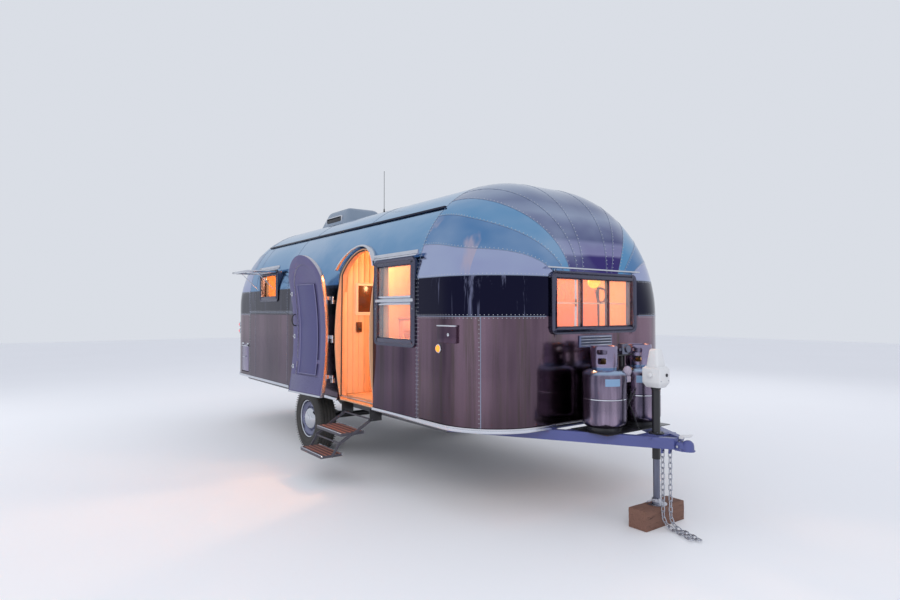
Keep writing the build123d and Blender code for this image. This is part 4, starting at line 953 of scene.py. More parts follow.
def makeSideWindows():
    w = sideWindow
    frames, panes, drips = [], [], []
    for index, (side, x0, x1, low, high) in enumerate(windows["sides"]):
        ys = sorted((side * w["inside"], side * (w["skin"] + 0.004)))
        add(frames, "trim", ringFrame("liner", (x0, ys[0], low), (x1, ys[1], high), w["bar"], w["corner"], 1))
        ys = sorted((side * w["skin"], side * w["proud"]))
        f = w["flange"]
        add(frames, "trim", ringFrame("flange", (x0 - f, ys[0], low - f), (x1 + f, ys[1], high + f),
                                      w["bar"] + f - 0.006, w["corner"], 1, 0.003))
        split = w["rail"] if index in (0, 2) else None
        spans = [(low, high)] if not split else [(low, split), (split, high)]
        for k, (bottom, top) in enumerate(spans):
            z0 = bottom + (w["bar"] if k == 0 else w["railHeight"] / 2)
            z1 = top - (w["bar"] if k == len(spans) - 1 else w["railHeight"] / 2)
            ys = sorted(side * y for y in w["beads"])
            add(frames, "bright", ringFrame("bead", (x0 + w["bar"] - 0.006, ys[0], z0 - 0.004),
                                            (x1 - w["bar"] + 0.006, ys[1], z1 + 0.004),
                                            w["bead"] + 0.004, 0.026, 1, 0.0015))
            if index != 1:
                add(panes, "glass", sideBox("pane", side, x0 + w["bar"] - 0.002, x1 - w["bar"] + 0.002,
                                            *w["glass"], z0 - 0.002, z1 + 0.002))
        if split:
            add(frames, "bright", sideBox("rail", side, x0 + 0.012, x1 - 0.012, *w["railReach"],
                                          split - w["railHeight"] / 2, split + w["railHeight"] / 2, 0.004))
            for x in (x0 + 0.012, x1 - 0.012):
                place = (x - math.copysign(0.008, x - (x0 + x1) / 2), side * 1.153, split - 0.07)
                add(frames, "bright", drum("stayScrew", place, 0.005, 0.003, (0, side, 0)))
        reach = w["dripReach"]
        cap = sideBox("drip", side, x0 - reach, x1 + reach, *w["drip"], high + 0.020, high + 0.032, 0.003)
        pick(cap, "VERT", lambda place, normal: abs(place.y) > 1.15)
        bpy.ops.transform.translate(value=(0, 0, -0.008))
        done()
        add(drips, "bright", cap)
        back = sideBox("dripBack", side, x0 - reach, x1 + reach, 1.128, 1.144, high + 0.03, high + 0.06, 0.002)
        add(drips, "bright", back)
        for k in range(w["dripRivets"]):
            share = (k + 0.5) / w["dripRivets"]
            place = Vector((x0 - reach + (x1 - x0 + 2 * reach) * share, side * 1.1435, high + 0.047))
            rivets.append((place, Vector((0, side, 0))))
    finished("sideWindowFrames", "body", frames, ("side_window_frames",))
    finished("sideWindowDrips", "body", drips)
    return panes


def makeEndWindows():
    w = endWindow
    half, low, high = windows["endHalf"], windows["endLow"], windows["endHigh"]
    frames, panes, inside = [], [], []
    for end, out in ((body["nose"], 1), (body["tail"], -1)):
        xs = sorted((end - out * w["deep"], end + out * 0.004))
        add(frames, "trim", ringFrame("liner", (xs[0], -half, low), (xs[1], half, high), w["bar"], w["corner"], 0))
        xs = sorted((end - out * 0.004, end + out * w["proud"]))
        f = w["flange"]
        add(frames, "trim", ringFrame("flange", (xs[0], -half - f, low - f), (xs[1], half + f, high + f),
                                      w["bar"] + f - 0.006, w["corner"], 0, 0.004))
        xs = sorted((end - out * 0.01, end + out * 0.010))
        b = w["bar"] - 0.006
        add(frames, "bright", ringFrame("bead", (xs[0], -half + b, low + b), (xs[1], half - b, high - b),
                                        w["bead"] + 0.004, 0.026, 0, 0.0015))
        for y in w["mullions"]:
            xs = sorted((end - out * 0.03, end + out * 0.012))
            add(frames, "trim", boxPiece("mullion", (xs[0], y - w["mullion"] / 2, low + 0.03),
                                         (xs[1], y + w["mullion"] / 2, high - 0.03), 0.003))
        xs = sorted((end - out * 0.006, end - out * 0.001))
        add(panes, "glass", boxPiece("pane", (xs[0], -half + w["bar"] - 0.003, low + w["bar"] - 0.003),
                                     (xs[1], half - w["bar"] + 0.003, high - w["bar"] + 0.003)))
        xs = sorted((end - out * 0.01, end + out * 0.0245))
        strip = boxPiece("dripStrip", (xs[0], -half - 0.045, high + 0.022),
                         (xs[1], half + 0.045, high + 0.034), 0.003)
        add(frames, "bright", strip)
        rail = boxPiece("innerRail", (end - out * 0.085 - 0.006, -half + 0.02, above(1.568)),
                        (end - out * 0.085 + 0.006, half - 0.02, above(1.580)), 0.002)
        add(inside, "cream", rail)
    finished("endWindowFrames", "body", frames, ("end_window_frames",))
    finished("windowInnerRails", "body", inside)
    return panes


def makePanes():
    panes = makeSideWindows() + makeEndWindows()
    finished("windowPanes", "body", panes, ("window_glass",))
    sash = shaped("propped_sash", 0.003)
    frames = [paint(sash, "bright")]
    low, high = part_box("propped_sash")
    for x in (low.x + 0.02, high.x - 0.02):
        stay = tube("sashStay", [(x, high.y - 0.02, above(1.78)), (x, low.y + 0.12, low.z - 0.002)],
                    0.004, 2, smooth=False)
        add(frames, "bright", stay)
    finished("proppedSash", "body", frames, ("propped_sash",))
    print("windows made")


# Entrance door: the leaf's details are laid on the closed leaf and swung with it
door = dict(bowRadius=3.05, bowZ=above(1.25), bowProud=0.035, thick=0.042, hinge=(-3.052, -1.189), open=174,
            panel=(-2.866, -2.526, above(0.88), above(1.78)), kick=(-2.99, -2.39, above(0.70), above(0.86)),
            latches=(above(1.69), above(1.25), above(0.94)))


def bowAt(z, depth):
    radius = door["bowRadius"] - depth
    return -body["half"] - door["bowProud"] + door["bowRadius"] - math.sqrt(radius ** 2 - (z - door["bowZ"]) ** 2)


def swung(piece):
    x, y = door["hinge"]
    turn = Matrix.Translation((x, y, 0)) @ Matrix.Rotation(-math.radians(door["open"]), 4,
                                                           "Z") @ Matrix.Translation((-x, -y, 0))
    piece.data.transform(turn)
    return piece


def bowSheet(name, x0, x1, z0, z1, depth, thick):
    # a sheet that follows the leaf's bow, thick towards the cabin
    deselect()
    bpy.ops.mesh.primitive_grid_add(x_subdivisions=2, y_subdivisions=14, size=1)
    sheet = bpy.context.object
    bake(sheet)
    for point in sheet.data.vertices:
        x = x0 + (point.co.x + 0.5) * (x1 - x0)
        z = z0 + (point.co.y + 0.5) * (z1 - z0)
        point.co = (x, bowAt(z, depth), z)
    pick(sheet, "FACE", lambda place, normal: True)
    bpy.ops.mesh.extrude_region_move(TRANSFORM_OT_translate=dict(value=(0, thick, 0)))
    bpy.ops.mesh.select_all(action="SELECT")
    bpy.ops.mesh.normals_make_consistent(inside=False)
    done()
    sheet.name = name
    return soften(sheet, min(thick * 0.4, 0.003), 2, 50)


def makeDoor():
    leaf = shaped("door_leaf", 0.003)
    leaf.data.materials.clear()
    for name in ("doorInner", "skin", "edgeHighlight"):
        leaf.data.materials.append(finishes[name])
    # the leaf's edge faces get the bright edge finish, a painted highlight
    for face in leaf.data.polygons:
        face.material_index = 0 if face.normal.y < -0.6 else 1 if face.normal.y > 0.6 else 2
    parts = [leaf]
    inner = door["thick"]
    x0, x1, z0, z1 = door["panel"]
    add(parts, "doorPanel", swung(bowSheet("panel", x0, x1, z0, z1, inner - 0.006, 0.007)))
    rim = [(x0, z0), (x1, z0), (x1, z1), (x0, z1)]
    path = []
    for (xa, za), (xb, zb) in zip(rim, rim[1:] + rim[:1]):
        steps = 10 if za != zb else 2
        path += [(xa + (xb - xa) * k / steps, za + (zb - za) * k / steps) for k in range(steps)]
    bead = tube("panelBead", [(x, bowAt(z, inner) + 0.001, z) for x, z in path], 0.005, 2, True, False)
    add(parts, "doorTrim", swung(bead))
    x0, x1, z0, z1 = door["kick"]
    add(parts, "doorKick", swung(bowSheet("kickPlate", x0, x1, z0, z1, inner - 0.001, 0.004)))
    trim = bowSheet("bottomTrim", x0 - 0.02, x1 + 0.02, above(0.673), above(0.69), inner - 0.002, 0.009)
    add(parts, "bright", swung(trim))
    for z in door["latches"]:
        y = bowAt(z, inner)
        plate = boxPiece("latchPlate", (-2.412, y - 0.002, z - 0.022), (-2.384, y + 0.005, z + 0.022), 0.002)
        add(parts, "bright", swung(plate))
        add(parts, "bright", swung(drum("latchKnob", (-2.398, y + 0.004, z), 0.009, 0.014, (0, 1, 0), 0.002, 16)))
    y = bowAt(above(1.42), inner)
    handle = tube("doorHandle", [(-2.43, y, above(1.36)), (-2.43, y + 0.03, above(1.37)),
                                 (-2.43, y + 0.03, above(1.47)),
                                 (-2.43, y, above(1.48))], 0.006, 3)
    add(parts, "dark", swung(handle))
    finished("doorLeaf", "door", parts, ("door_leaf",))

    frame = shaped("door_frame", 0.002)
    sealLine = [(x, bowAt(z, 0) + 0.012, z) for x, z in archOutline(0.016, above(0.68))[1:]]
    sealLine.append((sealLine[-1][0], bowAt(above(0.68), 0) + 0.012, above(0.68)))
    upright = [(sealLine[0][0], bowAt(above(0.68) + 0.1 * k, 0) + 0.012, above(0.68) + 0.1 * k) for k in range(12)]
    seal = tube("doorSeal", upright + sealLine[1:], 0.006, 2, False, False)
    finished("doorFrame", "body", [paint(frame, "jamb"), paint(seal, "dark")], ("door_frame",))

    dressed("doorHinges", "door_hinges", "bright", 0.0015, rider="door")
    dressed("wallHinges", "wall_hinges", "bright", 0.0015)
    dressed("doorHood", "door_hood", "bright", 0.003, segments=3)
    sill = boxPiece("doorSill", (-3.02, -1.130, above(0.690)), (-2.36, -1.10, above(0.696)), 0.002)
    finished("doorSill", "body", [paint(sill, "bright")])
    print("door made")


# Cabin: what shows through the doorway and the glass
cabin = dict(boardWide=0.062, boardThick=0.005, screen=(-0.93, -0.72, above(1.483), above(1.787)),
             thermostat=(-0.93, -0.872, above(1.302), above(1.403)), wallX=-3.065,
             counter=0.028, doorWide=0.44, lamp=(-0.915, 0.125, above(1.75), 0.052),
             wreath=(-0.875, 0.164, above(1.643), 0.058))


def makeCabin():
    c = cabin
    wardrobe = shaped("partition", 0.002)
    boards = [paint(wardrobe, "lining")]
    y = -1.088
    while y < -0.60:
        reach = -y - (body["half"] - body["shoulder"]) + body["wall"] + 0.015
        top = body["crown"] - body["shoulder"] + math.sqrt(max(body["shoulder"] ** 2 - reach ** 2, 0))
        board = boxPiece("board", (c["wallX"] - 0.002, y, above(0.695)),
                         (c["wallX"] + c["boardThick"], y + c["boardWide"] - 0.003, min(top, above(2.2))), 0.0015)
        add(boards, "lining" if int(y * 100) % 2 else "liningPale", board)
        y += c["boardWide"]
    finished("wardrobe", "body", boards, ("partition",))
    y0, y1, z0, z1 = c["screen"]
    x = c["wallX"] + c["boardThick"]
    rim = ringFrame("screenRim", (x - 0.002, y0 - 0.012, z0 - 0.012), (x + 0.010, y1 + 0.012, z1 + 0.012),
                    0.016, 0.01, 0, 0.0015)
    plate = boxPiece("screenPlate", (x - 0.001, y0, z0), (x + 0.006, y1, z1), 0.001)
    y0, y1, z0, z1 = c["thermostat"]
    stat = boxPiece("thermostat", (x - 0.001, y0, z0), (x + 0.018, y1, z1), 0.004)
    dial = drum("thermostatDial", (x + 0.016, (y0 + y1) / 2, z0 + 0.034), 0.014, 0.006, (1, 0, 0), 0.0015, 20)
    parts = [paint(rim, "cream"), paint(plate, "screen"), paint(stat, "screen"), paint(dial, "dark")]
    finished("wallScreen", "body", parts)

    low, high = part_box("galley")
    parts = [paint(shaped("galley", 0.003), "lining")]
    top = boxPiece("counter", (low.x, low.y - 0.018, high.z - c["counter"]),
                   (high.x + 0.012, high.y - 0.002, high.z), 0.006)
    add(parts, "counter", top)
    x = high.x - 0.02
    while x - c["doorWide"] > low.x:
        front = boxPiece("cabinetDoor", (x - c["doorWide"] + 0.008, low.y - 0.016, low.z + 0.07),
                         (x - 0.008, low.y + 0.001, high.z - 0.20), 0.004)
        drawer = boxPiece("drawerFront", (x - c["doorWide"] + 0.008, low.y - 0.016, high.z - 0.18),
                          (x - 0.008, low.y + 0.001, high.z - 0.045), 0.004)
        pick(front, "FACE", lambda place, normal: normal.y < -0.9)
        bpy.ops.mesh.inset(thickness=0.05, depth=-0.006)
        done()
        parts += [paint(front, "liningPale"), paint(drawer, "liningPale")]
        for z in (high.z - 0.11, high.z - 0.26):
            place = (x - c["doorWide"] / 2, low.y - 0.016, z)
            add(parts, "brass", drum("knob", place, 0.011, 0.018, (0, -1, 0), 0.003, 16))
        x -= c["doorWide"]
    tap = tube("tap", [(high.x - 0.55, 0.92, high.z), (high.x - 0.55, 0.92, high.z + 0.22),
                       (high.x - 0.55, 0.84, high.z + 0.27),
                       (high.x - 0.55, 0.77, high.z + 0.22), (high.x - 0.55, 0.765, high.z + 0.18)], 0.010, 4)
    add(parts, "chrome", tap)
    rimLow, rimHigh = (high.x - 0.75, 0.60, high.z - 0.002), (high.x - 0.33, 0.90, high.z + 0.006)
    sink = ringFrame("sinkRim", rimLow, rimHigh, 0.02, 0.04, 2, 0.002)
    add(parts, "bright", sink)
    finished("galleyUnit", "body", parts, ("galley",))

    low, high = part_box("wall_lockers")
    parts = [paint(shaped("wall_lockers", 0.003), "lining")]
    x = high.x - 0.02
    while x - 0.46 > low.x:
        front = boxPiece("lockerDoor", (x - 0.45, low.y - 0.014, low.z + 0.02),
                         (x - 0.01, low.y + 0.001, low.z + 0.27), 0.004)
        pick(front, "FACE", lambda place, normal: normal.y < -0.9)
        bpy.ops.mesh.inset(thickness=0.045, depth=-0.005)
        done()
        add(parts, "liningPale", front)
        place = (x - 0.23, low.y - 0.014, low.z + 0.045)
        add(parts, "brass", drum("knob", place, 0.010, 0.016, (0, -1, 0), 0.003, 16))
        x -= 0.46
    finished("wallLockers", "body", parts, ("wall_lockers",))
    dressed("loungeBase", "lounge_base", "lining", 0.004)
    dressed("bedBase", "bed_base", "lining", 0.004)

    # hanging lamp and wreath behind the front window
    x, y, z, radius = c["lamp"]
    arc = [math.radians(a) for a in range(15, 166, 15)]
    profile = [(0, -radius)] + [(radius * math.sin(a), -radius * math.cos(a)) for a in arc]
    profile += [(0.012, radius), (0.012, radius + 0.01), (0, radius + 0.01)]
    ball = lathe("shade", profile, (x, y, z), steps=28)
    cord = tube("lampStem", [(x, y, z + radius), (x, y, above(2.05))], 0.003, 2, smooth=False)
    finished("cabinLamp", "body", [paint(ball, "lampGlow"), paint(cord, "dark")])
    x, y, z, radius = c["wreath"]
    twigs = []
    for k in range(26):
        turn = k * math.tau / 26
        out = Vector((0, math.cos(turn), math.sin(turn)))
        side = Vector((0, -math.sin(turn), math.cos(turn)))
        start = Vector((x, y, z)) + out * radius
        tip = start + side * 0.022 + out * random.uniform(-0.016, 0.018)
        tip += Vector((random.uniform(-0.008, 0.008), 0, 0))
        add(twigs, "twig", tube("twig", [start - side * 0.020, start, tip], 0.0042, 1))
    finished("wreath", "body", twigs)
    print("cabin made")


# Soft goods: curtains gathered at their tracks, mattress and seat pads
curtains = dict(foldWidth=0.020, depth=0.009, thick=0.0016, top=1.335)
curtainSpans = (
    (-1.784, -1.664, -1, 0.661), (-2.286, -1.980, 1, 0.661), (-5.246, -5.126, 1, 0.881), (-4.774, -4.654, 1, 0.881),
    (-2.924, -2.804, 1, 0.881), (-3.396, -3.276, 1, 0.881), (-1.970, -1.664, 1, 0.661), (-4.774, -4.654, -1, 1.071),
    (-2.286, -2.166, -1, 0.661), (-5.246, -5.126, -1, 1.071),
)
pads = dict(cap=0.020, frames=20, pressure=4.0)


def makeCurtains():
    c = curtains
    for index, (x0, x1, side, low) in enumerate(curtainSpans):
        high = c["top"]
        folds = round((x1 - x0) / c["foldWidth"])
        deselect()
        bpy.ops.mesh.primitive_grid_add(x_subdivisions=folds * 8, y_subdivisions=16, size=1)
        cloth = bake(bpy.context.object)
        for point in cloth.data.vertices:
            across, down = point.co.x + 0.5, 0.5 - point.co.y
            sway = math.sin(across * folds * math.tau + 0.5 * math.sin(3 * down + index))
            spread = 0.94 + 0.06 * math.sin(2.2 * down + 0.7 * index)
            point.co = (x0 + 0.5 * (x1 - x0) * (1 + (2 * across - 1) * spread),
                        side * (1.082 + c["depth"] * (0.35 + 0.65 * down) * sway), high - (high - low - 0.002) * down)
        editAll(cloth, lambda: bpy.ops.mesh.normals_make_consistent(inside=False))
        thick = cloth.modifiers.new("thick", "SOLIDIFY")
        thick.thickness = c["thick"]
        thick.offset = 0
        applyAll(cloth)
        piece = finished(f"curtain{index}", "body", [paint(cloth, "curtain")],
                         ("curtains",) if index == 0 else (), 60)


def makePad(name, source, finish, replaced, low, high, voxel):
    # swells a copy of a cushion's solid by cloth under pressure, each point's travel capped
    deselect()
    pad = bpy.data.objects.new(name, nodes[source].data.copy())
    scene.collection.objects.link(pad)
    editAll(pad, lambda: bpy.ops.mesh.remove_doubles(threshold=0.0001))
    pick(pad, "VERT", lambda place, normal: not all(low[k] - 0.01 <= place[k] <= high[k] + 0.01 for k in range(3)))
    bpy.ops.mesh.delete(type="VERT")
    done()
    middle = (Vector(low) + Vector(high)) / 2
    inset = pads["cap"] * 0.6
    for point in pad.data.vertices:
        for k in range(3):
            half = (high[k] - low[k]) / 2
            point.co[k] = middle[k] + (point.co[k] - middle[k]) * (half - inset) / half
    soften(pad, 0.02, 2, 40)
    remesh = pad.modifiers.new("remesh", "REMESH")
    remesh.mode = "VOXEL"
    remesh.voxel_size = voxel
    applyAll(pad)
    rest = [point.co.copy() for point in pad.data.vertices]
    cloth = pad.modifiers.new("cloth", "CLOTH")
    cloth.settings.use_pressure = True
    cloth.settings.uniform_pressure_force = pads["pressure"]
    cloth.settings.effector_weights.gravity = 0
    cloth.point_cache.frame_start = 1
    cloth.point_cache.frame_end = pads["frames"]
    for number in range(1, pads["frames"] + 1):
        scene.frame_set(number)
    activate(pad)
    bpy.ops.object.modifier_apply(modifier="cloth")
    scene.frame_set(1)
    for point, start in zip(pad.data.vertices, rest):
        run = point.co - start
        if run.length > pads["cap"]:
            point.co = start + run.normalized() * pads["cap"]
        for k in range(3):
            point.co[k] = min(max(point.co[k], low[k] + 0.001), high[k] - 0.001)
    smooth = pad.modifiers.new("smooth", "SUBSURF")
    smooth.levels = smooth.render_levels = 1
    applyAll(pad)
    piece = finished(name, "body", [paint(pad, finish)], replaced, 60)
    return piece


def makeSoftGoods():
    makeCurtains()
    low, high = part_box("mattress")
    makePad("bedMattress", "mattress", "cloth", ("mattress",), low, high, 0.022)
    low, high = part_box("lounge_cushions")
    makePad("seatPad", "lounge_cushions", "cloth", ("lounge_cushions",), (low.x, low.y, low.z),
            (-0.995, high.y, 0.575), 0.020)
    makePad("backPad", "lounge_cushions", "cloth", (), (-0.965, -0.5, low.z), (high.x, 0.5, high.z), 0.014)
    print("soft goods made")


# Running gear
wheel = dict(x=wheelArch["x"], z=above(0.345), radius=0.345, rim=0.203, inner=0.907, outer=1.112,
             treadGrooves=(-0.055, -0.018, 0.018, 0.055), lugs=72)


def makeWheels():
    w = wheel
    middle = (w["inner"] + w["outer"]) / 2
    half = (w["outer"] - w["inner"]) / 2
    r, rim = w["radius"], w["rim"]
    side = [(rim + 0.002, -half + 0.018), (rim + 0.006, -half + 0.008), (rim + 0.018, -half + 0.004),
            (rim + 0.045, -half + 0.001), (rim + 0.048, -half + 0.004), (rim + 0.060, -half + 0.004),
            (rim + 0.063, -half), (rim + 0.09, -half + 0.003),
            (r - 0.030, -half + 0.010), (r - 0.012, -half + 0.018), (r - 0.004, -half + 0.026)]
    tread = []
    for groove in w["treadGrooves"]:
        tread += [(r, groove - 0.006), (r - 0.008, groove - 0.004), (r - 0.008, groove + 0.004),
                  (r, groove + 0.006)]
    profile = side + tread + [(rr, -h) for rr, h in reversed(side)]
    for sign, name in ((1, "left"), (-1, "right")):
        centre = (w["x"], sign * middle, w["z"])
        tyre = paint(lathe("tyre", profile, centre, (0, 1, 0), 72, True), "rubber")
        lugs = []
        lug = boxPiece("lug", (-0.0022, -0.096, r - 0.0085), (0.0022, -0.064, r))
        for k in range(w["lugs"]):
            for y in (0, 0.160):
                one = twin(lug, (0, y, 0))
                one.data.transform(Matrix.Translation(centre) @ Matrix.Rotation(k * math.tau / w["lugs"], 4, "Y"))
                add(lugs, "rubber", one)
        bpy.data.objects.remove(lug)
        finished(f"{name}Tyre", f"wheel_{name}", [tyre] + lugs, (f"tyre_{name}",), 34)
        out = (0, sign, 0)
        hub = (w["x"], 0, w["z"])
        rimProfile = [(rim, 0.962), (rim, 1.087), (rim - 0.004, 1.094), (rim - 0.012, 1.092),
                      (rim - 0.016, 1.070), (rim - 0.030, 1.055), (rim - 0.055, 1.046), (0.125, 1.050),
                      (0.122, 1.046), (0.030, 1.045), (0.030, 1.030), (0.020, 1.030), (0.020, 0.905),
                      (0.13, 0.905), (0.13, 0.962)]
        rimBody = paint(lathe("rimBody", rimProfile, hub, out, 60, True), "wheelPaint")
        cap = [(0.0, 1.1145), (0.018, 1.114), (0.045, 1.111), (0.062, 1.1065), (0.066, 1.101), (0.078, 1.099),
               (0.098, 1.090), (0.112, 1.077),
               (0.120, 1.062), (0.124, 1.048), (0.118, 1.046)]
        capBody = paint(lathe("hubCap", cap, hub, out, 56), "chrome")
        thick = capBody.modifiers.new("wall", "SOLIDIFY")
        thick.thickness = 0.0015
        applyAll(capBody)
        ring = paint(lathe("trimRing", [(rim - 0.014, 1.091), (rim - 0.004, 1.096), (rim - 0.001, 1.092),
                                        (rim - 0.010, 1.088)], hub, out, 60, True), "chrome")
        finished(f"{name}Wheel", f"wheel_{name}", [rimBody, capBody, ring], (f"wheel_{name}",), 38)
    dressed("springPacks", "leaf_springs", "black", 0.003)
    print("wheels made")


# Folding steps
step = dict(ribs=8, ribWide=0.013, ribHigh=0.004, middle=-2.69, upperHalf=0.238, lowerHalf=0.225, rise=0.012)


def makeSteps():
    s = step
    for node in ("step_upper", "step_lower"):
        tray = paint(shaped(node, 0.002), "stepFrame")
        low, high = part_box(node)
        if node == "step_upper":
            y0, y1, height, half = -1.400, -1.170, above(0.430), s["upperHalf"]
        else:
            y0, y1, height, half = low.y, high.y, above(0.255), s["lowerHalf"]
        x0, x1, z = s["middle"] - half, s["middle"] + half, height + s["rise"]
        parts = [tray]
        pitch = (y1 - y0 - 0.03) / s["ribs"]
        for k in range(s["ribs"]):
            y = y0 + 0.015 + pitch * (k + 0.5)
            rib = boxPiece("rib", (x0, y - s["ribWide"] / 2, z - 0.002),
                           (x1, y + s["ribWide"] / 2, z + s["ribHigh"]), 0.0015)
            # every other rib gets the dark copy, painted shade between ribs
            add(parts, "treadRib" if k % 2 else "treadShadeRib", rib)
        for y in (y0 + 0.006, y1 - 0.006):
            lip = boxPiece("lip", (x0 - 0.008, y - 0.005, z - 0.012),
                           (x1 + 0.008, y + 0.005, z + s["ribHigh"] + 0.001), 0.002)
            add(parts, "bright", lip)
        finished("upperStep" if node == "step_upper" else "lowerStep", node, parts, (node,))
    for node, name in (("step_links", "upperStepLinks"), ("step_lower_links", "lowerStepLinks")):
        dressed(name, node, "stepFrame", 0.0015, rider=node)
    dressed("stepBrackets", "step_brackets", "black", 0.002)
    print("steps made")


# Gas cylinders, their tray and fittings
tank = dict(x=-0.546, spread=0.206, radius=0.162, low=0.080, shoulder=0.520, top=0.680, collar=0.098, holdTop=0.612)


def makeTanks():
    t = tank
    parts = []
    for side in (-1, 1):
        x, y = t["x"], side * t["spread"]
        centre = (x, y, 0)
        r, low, high = t["radius"], t["low"], t["shoulder"]
        arc = [(90 - k * 15) for k in range(6)]
        profile = [(0, low + 0.022), (0.06, low + 0.018)]
        profile += [(r - 0.055 + 0.055 * math.cos(math.radians(a)),
                     low + 0.062 - 0.052 * math.sin(math.radians(a))) for a in arc]
        middle = (low + high) / 2
        profile += [(r, low + 0.062), (r, middle - 0.012), (r - 0.0025, middle - 0.006), (r, middle - 0.003),
                    (r, middle + 0.003),
                    (r - 0.0025, middle + 0.006), (r, middle + 0.012), (r, high - 0.062)]
        profile += [(r - 0.085 + 0.085 * math.cos(math.radians(a)),
                     high - 0.062 + 0.056 * math.sin(math.radians(a))) for a in arc[::-1]]
        profile += [(0.05, high - 0.002), (0, high)]
        add(parts, "tank", lathe("tankBody", profile, centre, steps=56))
        bead = lathe("weldBead", [(r - 0.002, middle - 0.005), (r + 0.0015, middle - 0.003),
                                  (r + 0.0015, middle + 0.003), (r - 0.002, middle + 0.005)],
                      centre, steps=56, closed=True)
        add(parts, "bright", bead)
        foot = lathe("footRing", [(0.104, low + 0.03), (0.110, low + 0.02), (0.110, low + 0.001), (0.106, low),
                                  (0.103, low + 0.02)], centre, steps=48, closed=True)
        add(parts, "tank", foot)
        c = t["collar"]
        collar = lathe("collar", [(c - 0.010, high - 0.012), (c, high + 0.012), (c, t["top"] - 0.008),
                                  (c - 0.006, t["top"]), (c - 0.011, t["top"] - 0.005),
                                  (c - 0.005, t["top"] - 0.012), (c - 0.004, high + 0.012),
                                  (c - 0.014, high - 0.012)], centre, steps=48, closed=True)
        for turn in (0, 120, 240):
            for z0, z1, wide in ((high + 0.030, high + 0.075, 0.060), (high + 0.100, high + 0.135, 0.075)):
                if turn == 0 and z0 > high + 0.05:
                    wide = 0.11
                facing = Matrix.Rotation(math.radians(turn + 180), 4, "Z")
                cutter = roundedCutter((-0.04, -wide / 2, z0), (0.04, wide / 2, z1), 0.012, 0)
                cutter.data.transform(Matrix.Translation(Vector(centre)) @ facing @ Matrix.Translation((c, 0, 0)))
                cut(collar, cutter)
        add(parts, "tank", collar)
        add(parts, "brass", drum("valveBase", (x, y, high - 0.004), 0.022, 0.030, (0, 0, 1), 0.003, 24))
        add(parts, "brass", boxPiece("valveBody", (x - 0.017, y - 0.014, high + 0.024),
                                     (x + 0.017, y + 0.014, high + 0.060), 0.004))
        wheelTop = drum("valveWheel", (x, y, high + 0.066), 0.028, 0.014, (0, 0, 1), 0.004, 12)
        add(parts, "dark", wheelTop)
        add(parts, "brass", drum("valveStem", (x, y, high + 0.058), 0.006, 0.01, (0, 0, 1), 0, 12))
        add(parts, "brass", drum("valveOutlet", (x, y, high + 0.042), 0.009, 0.034, (0, -side, 0), 0.002, 16))
    finished("gasCylinders", "body", parts, ("gas_cylinders",), 40)
    labels = []
    for side, angle in ((-1, -28), (1, -40)):
        deselect()
        bpy.ops.mesh.primitive_grid_add(x_subdivisions=8, y_subdivisions=2, size=1)
        label = bake(bpy.context.object)
        middle = Vector((t["x"], side * t["spread"], 0.425))
        radius = t["radius"] + 0.0009
        for point in label.data.vertices:
            turn = math.radians(angle + point.co.x * 40)
            point.co = middle + Vector((radius * math.cos(turn), radius * math.sin(turn), point.co.y * 0.052))
        editAll(label, lambda: bpy.ops.mesh.normals_make_consistent(inside=False))
        face = label.data.polygons[0]
        if face.normal.dot(face.center - middle) < 0:
            label.data.flip_normals()
        add(labels, "paper", label)
    finished("blankLabels", "body", labels)


def makeTankFittings():
    t = tank
    tray = paint(shaped("gas_tray", 0.003), "black")
    parts = [tray]
    for side in (-1, 1):
        hold = lathe("trayRing", [(0.120, 0.066), (0.126, 0.066), (0.126, 0.098), (0.120, 0.098)],
                     (t["x"], side * t["spread"], 0), steps=40, closed=True)
        add(parts, "black", hold)
    for y in (-0.020, 0.020):
        post = boxPiece("holdPost", (t["x"] - 0.012, y - 0.003, 0.064), (t["x"] + 0.012, y + 0.003, 0.622), 0.001)
        add(parts, "black", post)
    for first, last in (((0.0, -0.02, 0.10), (0.10, 0.02, 0.34)), ((0.0, 0.02, 0.10), (0.10, -0.02, 0.34)),
                        ((0.012, 0, 0.36), (0.150, 0, 0.068))):
        places = [(t["x"] + first[0], first[1], first[2]), (t["x"] + last[0], last[1], last[2])]
        add(parts, "black", tube("brace", places, 0.005, 2, smooth=False))
    add(parts, "black", boxPiece("holdBar", (t["x"] - 0.016, -0.150, t["holdTop"] - 0.012),
                                 (t["x"] + 0.016, 0.150, t["holdTop"] - 0.004), 0.002))
    add(parts, "zincBright", drum("wingNut", (t["x"], 0, t["holdTop"] - 0.004), 0.018, 0.014, (0, 0, 1), 0.003, 6))
    finished("gasTray", "body", parts, ("gas_tray",))
    low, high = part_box("gas_fittings")
    parts = [paint(shaped("gas_fittings", 0.004), "zinc")]
    add(parts, "red", drum("changeKnob", (t["x"] + 0.02, 0, high.z - 0.004), 0.018, 0.004, (0, 0, 1), 0.001, 20))
    x, z = t["x"] + 0.052, 0.470
    add(parts, "black", boxPiece("regulatorBack", (t["x"] + 0.010, -0.022, z - 0.05),
                                 (x - 0.012, 0.022, z + 0.05), 0.003))
    add(parts, "regulator", drum("regulatorBody", (x - 0.014, 0, z + 0.012), 0.042, 0.022, (1, 0, 0), 0.005, 32))
    add(parts, "regulator", dome("regulatorCover", (x + 0.006, 0, z + 0.012), 0.034, 0.018, (1, 0, 0), 28))
    add(parts, "regulator", boxPiece("regulatorFoot", (x - 0.014, -0.024, z - 0.066),
                                     (x + 0.014, 0.024, z - 0.022), 0.004))
    for side in (-1, 1):
        place = (x - 0.004, side * 0.020, z - 0.044)
        add(parts, "brass", drum("regulatorPort", place, 0.008, 0.018, (0, side, 0), 0.0015, 6))
    finished("gasRegulator", "body", parts, ("gas_fittings",))
    print("gas cylinders made")


